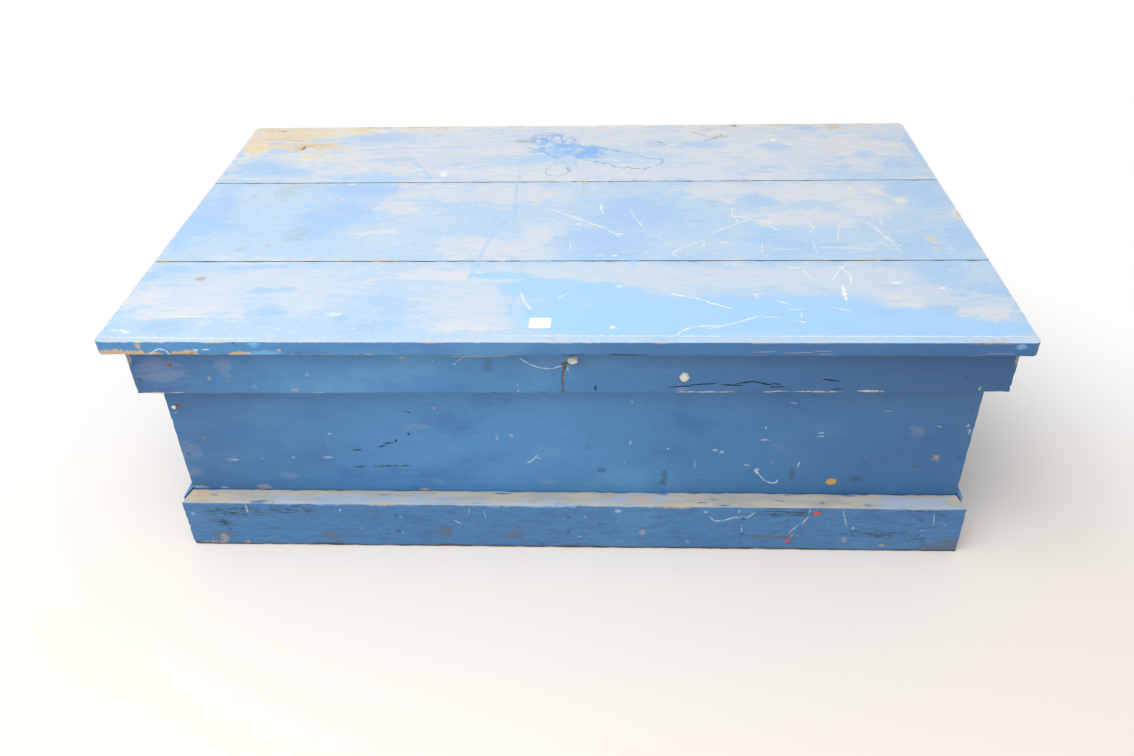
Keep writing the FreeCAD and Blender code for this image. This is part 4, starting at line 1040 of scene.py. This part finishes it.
middle = lid_finish("faded_sheen_lid_middle", "lid_board_middle", 0.10, (-1, 1))
tree = middle.tree
face = Face(middle, on_lid)
face.lay("beige", face.spots([
    (-80, -115, 90, 26), (330, 45, 120, 34), (380, -5, 40, 24), (-225, 0, 34, 22), (-205, 50, 44, 26),
    (-240, -70, 28, 14), (-100, 40, 110, 30), (-30, -80, 30, 34), (-130, -110, 40, 26), (200, 50, 60, 30),
    (300, -30, 80, 24)], soft=0.7, shake=18), BEIGE, 0.8, streaked, 0.7)
face.lay("bluer", face.spots([
    (-472, 0, 20, 60), (-470, -60, 24, 20), (-300, -15, 30, 34), (-330, -50, 30, 40), (460, 45, 36, 34),
    (-490, -40, 16, 70), (250, 20, 20, 14), (90, -20, 60, 50), (-290, 60, 40, 20), (480, -90, 20, 40),
    (40, -100, 60, 40), (425, -110, 34, 30)], soft=0.7, shake=16), FADED_AND_SHEEN_DEEP, 0.6, streaked, 0.8)
face.lay("dirt", face.spots([
    (-435, 40, 5, 8), (-395, 45, 14, 20), (-380, 68, 26, 5), (-375, -105, 5, 7), (-410, -115, 6, 6),
    (-350, -75, 16, 20), (-400, 78, 14, 4), (165, -40, 10, 2), (184, 14, 8, 5), (14, 48, 3, 14),
    (30, 30, 3, 4)], soft=0.6, shake=5), OLIVE_DIRT, 0.8, streaked, 0.22)
face.lay("sweep", face.strokes([
    (8, (-79, 78), (-76, 20), (-75, -24)), (9, (-78, -24), (-95, -60), (-104, -110), (-108, -146))],
    shake=3), FADED_AND_SHEEN_DEEP, 0.6, strength=0.42)
face.lay("scratches", face.strokes([
    (2.4, (-32, -2), (-15, -15), (20, -42), (45, -62), (62, -84)), (1.8, (75, -4), (82, -30), (92, -60)),
    (2.2, (122, -128), (138, -112), (165, -93)), (1.8, (124, -128), (132, -136)),
    (2.2, (175, -75), (205, -52), (230, -35)), (2.0, (210, -2), (206, -20), (213, -46)),
    (2.2, (205, -25), (232, -38), (262, -52)), (2.0, (337, -55), (328, -90)),
    (1.6, (300, -38), (304, -60), (298, -76)), (2.0, (368, -38), (384, -76), (402, -112)),
    (1.8, (380, -55), (386, -82), (398, -122)), (1.8, (295, -113), (360, -116)),
    (1.6, (245, -116), (278, -118)), (2.0, (183, -98), (202, -104)), (1.8, (405, -70), (427, -68)),
    (1.8, (375, -96), (395, -120)), (1.6, (392, -30), (390, -60)), (1.6, (296, -100), (298, -130)),
    (2.0, (252, -54), (258, -68)), (1.6, (235, -100), (232, -130)), (1.4, (360, -100), (364, -124)),
    (1.6, (0, -95), (2, -118)), (1.4, (30, -136), (44, -126)), (1.4, (166, -92), (163, -112)),
    (1.4, (90, -120), (96, -130))], shake=1.0), shade(232, 226, 210), 0.75, worn_away)
face.lay("white", face.spots([
    (38, 0, 2.4, 9), (40, -14, 1.4, 3), (-310, 76, 6, 3), (62, -76, 5, 2), (10, -48, 4, 2.4),
    (55, -132, 3, 2), (492, -22, 5, 14)],
    soft=0.6, shake=1.5), shade(232, 230, 222), 0.75, worn_away, 0.8)
face.lay("worn", face.spots([
    (402, 42, 8, 7), (371, 50, 3, 14), (247, -44, 9, 8)], soft=0.5, shake=2), CREAM, 0.75, strength=0.5)
face.lay("drop", face.spots([
    (430, 18, 9, 9)], soft=0.7, shake=2), shade(218, 216, 198), 0.75, strength=0.8)
face.lay("yellowed", face.spots([
    (441, -92, 6.5, 8), (441, -116, 4, 5)],
    soft=0.6, shake=2), shade(214, 196, 158), 0.75, worn_away, 0.9)
face.lay("tan", face.spots([
    (493, -26, 4, 9), (14, 77, 5, 6), (-496, -141, 10, 3), (-228, -143, 9, 2.4), (360, -143, 8, 2),
    (-390, 79, 8, 3)], soft=0.4, shake=1.5), WOOD_TAN, 0.85, worn_away, 0.9)
middle.dress(board)

# The front board: haze to the left, clean blue along its right half, and the lid's bruised lip.
front_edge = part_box("lid_board_front")[0].y
corners = corner_cuts(-1, front_edge, -1) + corner_cuts(1, front_edge, -1)
board = plank("lid_plank_front", "lid_board_front", (250, 44, 5), arris=0.9, chip=0.6, trimmed=corners)
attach(board, "lid")

lip = lid_finish("faded_sheen_lid_front", "lid_board_front", 0.08, (1,))
tree = lip.tree
face = Face(lip, on_lid)
face.lay("hazed", face.spots([
    (-290, -230, 50, 30), (-110, -255, 55, 45), (400, -228, 44, 34), (462, -250, 26, 24),
    (-420, -230, 60, 40), (-360, -200, 110, 40), (40, -180, 220, 28), (300, -185, 160, 30)],
    soft=0.7, shake=16), HAZE, 0.75, streaked, 0.65)
face.lay("beige", face.spots([
    (-486, -232, 26, 24), (-430, -265, 50, 12), (-140, -180, 60, 12), (-100, -290, 40, 10),
    (380, -250, 26, 18), (460, -262, 30, 12)], soft=0.7, shake=12), BEIGE, 0.8, streaked, 0.65)
face.lay("clean", face.spots([
    (60, -268, 118, 44), (150, -270, 110, 42), (260, -270, 110, 42), (350, -285, 90, 34),
    (-20, -210, 60, 24), (440, -296, 60, 16), (30, -225, 60, 30), (-75, -180, 40, 9)],
    soft=0.16, shake=7), SKY_BLUE, 0.5, strength=0.82)
face.lay("bluer", face.spots([
    (-330, -262, 20, 8), (-245, -275, 7, 12), (-440, -290, 30, 14), (-340, -215, 24, 6),
    (430, -170, 26, 30), (410, -255, 16, 12), (-470, -165, 24, 8), (-370, -160, 40, 6), (350, -262, 20, 6)],
    soft=0.7, shake=6), FADED_AND_SHEEN_DEEP, 0.5, streaked, 0.8)
face.lay("sweep", face.strokes([
    (9, (-108, -146), (-112, -172), (-115, -192)), (12, (-104, -180), (-60, -184), (-10, -196)),
    (8, (-52, -210), (-60, -240), (-62, -262), (-50, -280))], shake=4), SKY_BLUE, 0.5, strength=0.6)
face.lay("worn edge", face.strokes([
    (4, (-52, -218), (-46, -240), (-38, -256)), (2.6, (-70, -309.5), (200, -309.5)),
    (3.0, (200, -309.5), (492, -309.5)), (3.0, (-450, -271), (-398, -271)),
    (1.8, (-390, -272), (-350, -272)), (2.4, (-504, -313), (-330, -316))],
    shake=1.2), shade(230, 226, 214), 0.7, worn_away, 0.8)
face.lay("scratches", face.strokes([
    (3.0, (118, -222), (138, -229), (155, -237), (166, -246)),
    (2.6, (120, -308), (126, -300), (138, -291), (166, -288)),
    (2.4, (155, -295), (185, -283), (215, -268)), (1.8, (215, -271), (233, -272)),
    (2.2, (160, -240), (185, -256)), (2.2, (233, -236), (250, -246)), (2.0, (245, -256), (262, -255)),
    (2.4, (247, -279), (263, -283)), (2.4, (293, -252), (313, -259)), (1.8, (203, -224), (224, -222)),
    (2.2, (330, -150), (316, -168), (305, -190)), (2.2, (318, -158), (326, -180), (324, -202)),
    (7, (313, -203), (311, -236)), (2.0, (255, -162), (273, -163)), (1.8, (274, -168), (281, -190)),
    (1.8, (211, -222), (216, -232)), (1.4, (258, -262), (256, -274)), (1.4, (440, -168), (452, -170)),
    (1.4, (84, -150), (90, -160)), (1.6, (-10, -232), (4, -220)), (1.4, (368, -196), (384, -198)),
    (1.4, (50, -290), (58, -296))], shake=0.8), shade(234, 230, 216), 0.75, worn_away)
face.lay("white", face.spots([
    (-485, -300, 9, 2), (-476, -304, 5, 1.6), (-256, -266, 8, 3), (60, -205, 4, 2.4), (52, -292, 3, 3),
    (423, -210, 3, 3), (374, -198, 6, 3)],
    soft=0.6, shake=1.5), shade(232, 232, 226), 0.75, worn_away, 0.8)
face.lay("knot", face.spots([
    (-433, -187, 6, 5)], soft=0.6, shake=2), shade(176, 152, 136), 0.8, worn_away, 0.9)

# The lip: bruised through to the wood at the left end, dented under the middle, dirty marks along it.
LIP_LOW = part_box("lid_board_front")[0].z / MM
face = Face(lip, on_lip)
bruised = face.spots([
    (-478, 292, 34, 14), (-408, 292, 15, 9), (-347, 292, 12, 6), (-441, 292, 8, 4)],
    soft=0.5, shake=1.0, skin=12)
points = maths(tree, "MULTIPLY_ADD", cloud(tree, lip.place, (5, 60, 40), 5.0, 0.8), 30.0, -9.0)
above = maths(tree, "SUBTRACT", add(tree, "SeparateXYZ", {0: lip.place}).outputs[2], LIP_LOW)
splinters = ease(tree, maths(tree, "SUBTRACT", times(tree, points, bruised), above), 0.0, 0.8)
lip.coat(splinters, shade(196, 172, 138), 0.8)
face.lay("lip wear", face.spots([
    (-457, 303, 3, 3.6), (-402, 296, 4.6, 3), (-290, 293, 3, 1), (-248, 292.8, 3, 1), (-222, 293, 3, 1),
    (-208, 293, 4.4, 1.4), (-180, 293, 2, 1), (445, 308, 26, 1.6), (493, 300, 3, 7), (-278, 293, 2, 0.8)],
    soft=0.35, shake=1.6), shade(196, 172, 138), 0.8, worn_away)
# Painted shade on the lip's front face, darker towards its right end.
painted_shade = face.spots([(500, 300, 500, 200)], soft=0.95, shake=30, skin=30)
facing_front = ease(tree, lip.facing[1], -0.4, -0.8)
lip.coat(times(tree, times(tree, painted_shade, facing_front), 0.75), BLUE_SHADE_AND_GRIME, 0.5)
face.lay("tan drop", face.spots([(-401, 293.6, 2.2, 1.4)]), shade(186, 126, 82), 0.8)
face.lay("paler", face.spots([
    (-322, 294.4, 18, 3.4), (-330, 306, 5, 4), (475, 304, 5, 3)],
    soft=0.6, shake=2), shade(128, 186, 236), 0.5, strength=0.6)
face.lay("spilt", face.strokes([
    (2.4, (-447, 293), (-441, 297), (-435, 300), (-428, 298), (-425, 293)),
    (2.4, (-397, 300), (-393, 296)), (2.0, (-388, 299), (-380, 299.4)), (2.0, (-398, 297), (-392, 299))],
    shake=0.6), PALE_FLECK, 0.6)
# Painted shade in dents along the lip's lower edge.
face.lay("dent_shade", face.spots([
    (12, 292.6, 13, 1.2), (66, 292.8, 20, 1.6), (-352, 307.6, 2, 1)],
    soft=0.4, shake=1), CRACK_BLACK, 0.8, strength=0.85)
face.lay("streaks", face.strokes([
    (1.8, (200, 297), (224, 298)), (1.8, (232, 296), (262, 297)), (1.6, (262, 299), (282, 298)),
    (1.6, (268, 295), (284, 294)), (1.4, (440, 296), (470, 296))],
    shake=0.8), shade(150, 158, 166), 0.7, strength=0.6)
lip.dress(board)


# ---- Paper label ----
# A small blank slip pasted on the front lid board, one corner of it just lifting.

LABEL_CURL = 0.15
LABEL_PAPER = 0.1
LABEL_CLEAR = 0.03
CORNER_DRAWN_IN = 0.2

low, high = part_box("paper_label")
bpy.ops.object.select_all(action="DESELECT")
bpy.ops.mesh.primitive_grid_add(x_subdivisions=16, y_subdivisions=14, size=1,
                                location=((low.x + high.x) / 2, (low.y + high.y) / 2,
                                          low.z + LABEL_CLEAR * MM))
label = bpy.context.object
label.name = "paper_slip"
bpy.ops.transform.resize(value=(high.x - low.x, high.y - low.y, 1))
bpy.ops.object.transform_apply(location=True, rotation=True, scale=True)
bpy.ops.object.mode_set(mode="EDIT")
bpy.ops.mesh.select_mode(type="VERT")
bpy.ops.mesh.select_all(action="DESELECT")
shape = bmesh.from_edit_mesh(label.data)
for corner in shape.verts:
    corner.select_set((corner.co - Vector((high.x, low.y, corner.co.z))).length < 0.1 * MM)
bmesh.update_edit_mesh(label.data)
bpy.ops.transform.translate(value=(-CORNER_DRAWN_IN * MM, CORNER_DRAWN_IN * MM, LABEL_CURL * MM),
                            use_proportional_edit=True, proportional_edit_falloff="SHARP",
                            proportional_size=9 * MM)
bpy.ops.object.mode_set(mode="OBJECT")
modify(label, "SOLIDIFY", thickness=LABEL_PAPER * MM, offset=1.0)
bpy.ops.object.shade_smooth_by_angle(angle=math.radians(30))
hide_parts("paper_label")
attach(label, "lid")

paper = Finish("label_paper", shade(228, 228, 218), 0.7)
fibre = cloud(paper.tree, paper.place, 0.6, 3.0)
stain = cloud(paper.tree, paper.place, 9, 2.0)
paper.coat(times(paper.tree, ease(paper.tree, stain, 0.5, 0.75), 0.5), shade(216, 212, 194), 0.75)
paper.relief = times(paper.tree, fibre, 0.05)
paper.dress(label)


# ---- Battens ----
# Three bars of bare deal across the underside of the lid hold its boards together.
# Each is screwed up into every board, the screws staggered.

battens = []
for side in ACROSS:
    board = plank(f"batten_{side}", f"lid_batten_{side}", (2, 40, 0), chip=0.5)
    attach(board, "lid")
    battens.append(board)
bare_deal("bare_deal_batten", along="Y").dress(*battens)


# ---- Hinges, drop handles and screws ----
# Two stopped butt hinges at the back and a drop handle on each end, of plain black iron.
# The black has worn off the corners and rust has come through.

BLACKING = shade(48, 47, 46)
WORN_IRON = shade(112, 106, 100)
DEEP_RUST = shade(104, 66, 46)

black_iron = Finish("worn_black_iron", BLACKING, 0.5)
tree = black_iron.tree
black_iron.shader.inputs["Metallic"].default_value = 0.35
scale_marks = cloud(tree, black_iron.place, 3.0, 4.0, 0.65)
rust = cloud(tree, black_iron.place, 11, 5.0, 0.7)
black_iron.coat(ease(tree, scale_marks, 0.55, 0.8), WORN_IRON, 0.42)
black_iron.coat(ease(tree, rust, 0.54, 0.66), DEEP_RUST, 0.85, lift=0.15)
black_iron.relief = maths(tree, "MULTIPLY_ADD", scale_marks, 0.3, black_iron.relief)
IRON_PARTS = ("handle_plate", "handle_bail", "handle_screws", "hinge_back_leaf", "hinge_lid_leaf",
              "hinge_pin")
ironwork = [f"{side}_{part}" for side in SIDES for part in IRON_PARTS]
ironwork += ["hinge_back_screws", "hinge_lid_screws", "batten_screws"]
black_iron.dress(*[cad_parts[node] for node in ironwork])


# ---- Floor, light and camera ----
# A plain pale floor that runs off to white, one large soft lamp overhead and a white sky.
# The camera looks down on the lid from in front, a little right of the middle.

FLOOR_GREY = shade(238, 230, 222)
CAMERA_AT = (0.0488, -1.1896, 0.8823)
CAMERA_YAW = 0.0521
CAMERA_DOWN = 0.6192
CAMERA_ROLL = -0.0272
LENS = 31.44
LAMP_WATTS = 45
LAMP_AT = (-0.65, -0.95, 2.2)
LAMP_AIM = Vector((0, 0, 0.25))
FLOOR_SIZE = 40
FADE_CENTRE = (0.05, -0.60, 0)
FADE_START = 0.60
FADE_END = 1.30
SKY_LIGHT = 0.62


def seen_directly(tree):
    """1 where a ray comes from the camera, a mirror or glass, and 0 where it only gathers light."""
    rays = add(tree, "LightPath").outputs
    mirrored = maths(tree, "MAXIMUM", rays["Is Glossy Ray"], rays["Is Transmission Ray"])
    return maths(tree, "MAXIMUM", rays["Is Camera Ray"], mirrored)


bpy.ops.object.select_all(action="DESELECT")
bpy.ops.mesh.primitive_plane_add(size=FLOOR_SIZE)
ground = bpy.context.object
ground.name = "ground"
material = bpy.data.materials.new("pale_ground")
material.use_nodes = True
tree = material.node_tree
shader = tree.nodes["Principled BSDF"]
where = add(tree, "TexCoord").outputs["Object"]
away = vector_maths(tree, "DISTANCE", where, FADE_CENTRE, gives="Value")
far = ease(tree, away, FADE_START, FADE_END)
tree.links.new(blend(tree, far, FLOOR_GREY, shade(240, 240, 240)), shader.inputs["Base Color"])
shader.inputs["Roughness"].default_value = 0.6
shader.inputs["Specular IOR Level"].default_value = 0.2
white = add(tree, "Emission", {"Color": (1, 1, 1, 1), "Strength": 1.0})
see_white = times(tree, far, seen_directly(tree))
both = add(tree, "MixShader", {0: see_white, 1: shader.outputs[0], 2: white.outputs[0]})
tree.links.new(both.outputs[0], tree.nodes["Material Output"].inputs["Surface"])
ground.data.materials.append(material)

lamp = bpy.data.lights.new("soft_box", type="AREA")
lamp.shape = "RECTANGLE"
lamp.size = 2.0
lamp.size_y = 1.8
lamp.energy = LAMP_WATTS
soft_box = bpy.data.objects.new("soft_box", lamp)
bpy.context.scene.collection.objects.link(soft_box)
soft_box.location = LAMP_AT
soft_box.rotation_euler = (LAMP_AIM - soft_box.location).to_track_quat("-Z", "Y").to_euler()

sky = bpy.data.worlds.new("white_sky")
bpy.context.scene.world = sky
sky.use_nodes = True
tree = sky.node_tree
strength = maths(tree, "MULTIPLY_ADD", seen_directly(tree), 1.0 - SKY_LIGHT, SKY_LIGHT)
tree.nodes["Background"].inputs["Color"].default_value = (1, 1, 1, 1)
tree.links.new(strength, tree.nodes["Background"].inputs["Strength"])

camera_data = bpy.data.cameras.new("camera")
camera_data.lens = LENS
camera_data.sensor_width = 36
camera = bpy.data.objects.new("camera", camera_data)
bpy.context.scene.collection.objects.link(camera)
turn = (Matrix.Rotation(CAMERA_YAW, 4, "Z") @ Matrix.Rotation(math.pi / 2 - CAMERA_DOWN, 4, "X")
        @ Matrix.Rotation(CAMERA_ROLL, 4, "Z"))
camera.matrix_world = Matrix.Translation(CAMERA_AT) @ turn
bpy.context.scene.camera = camera
bpy.context.scene.view_settings.view_transform = "Standard"
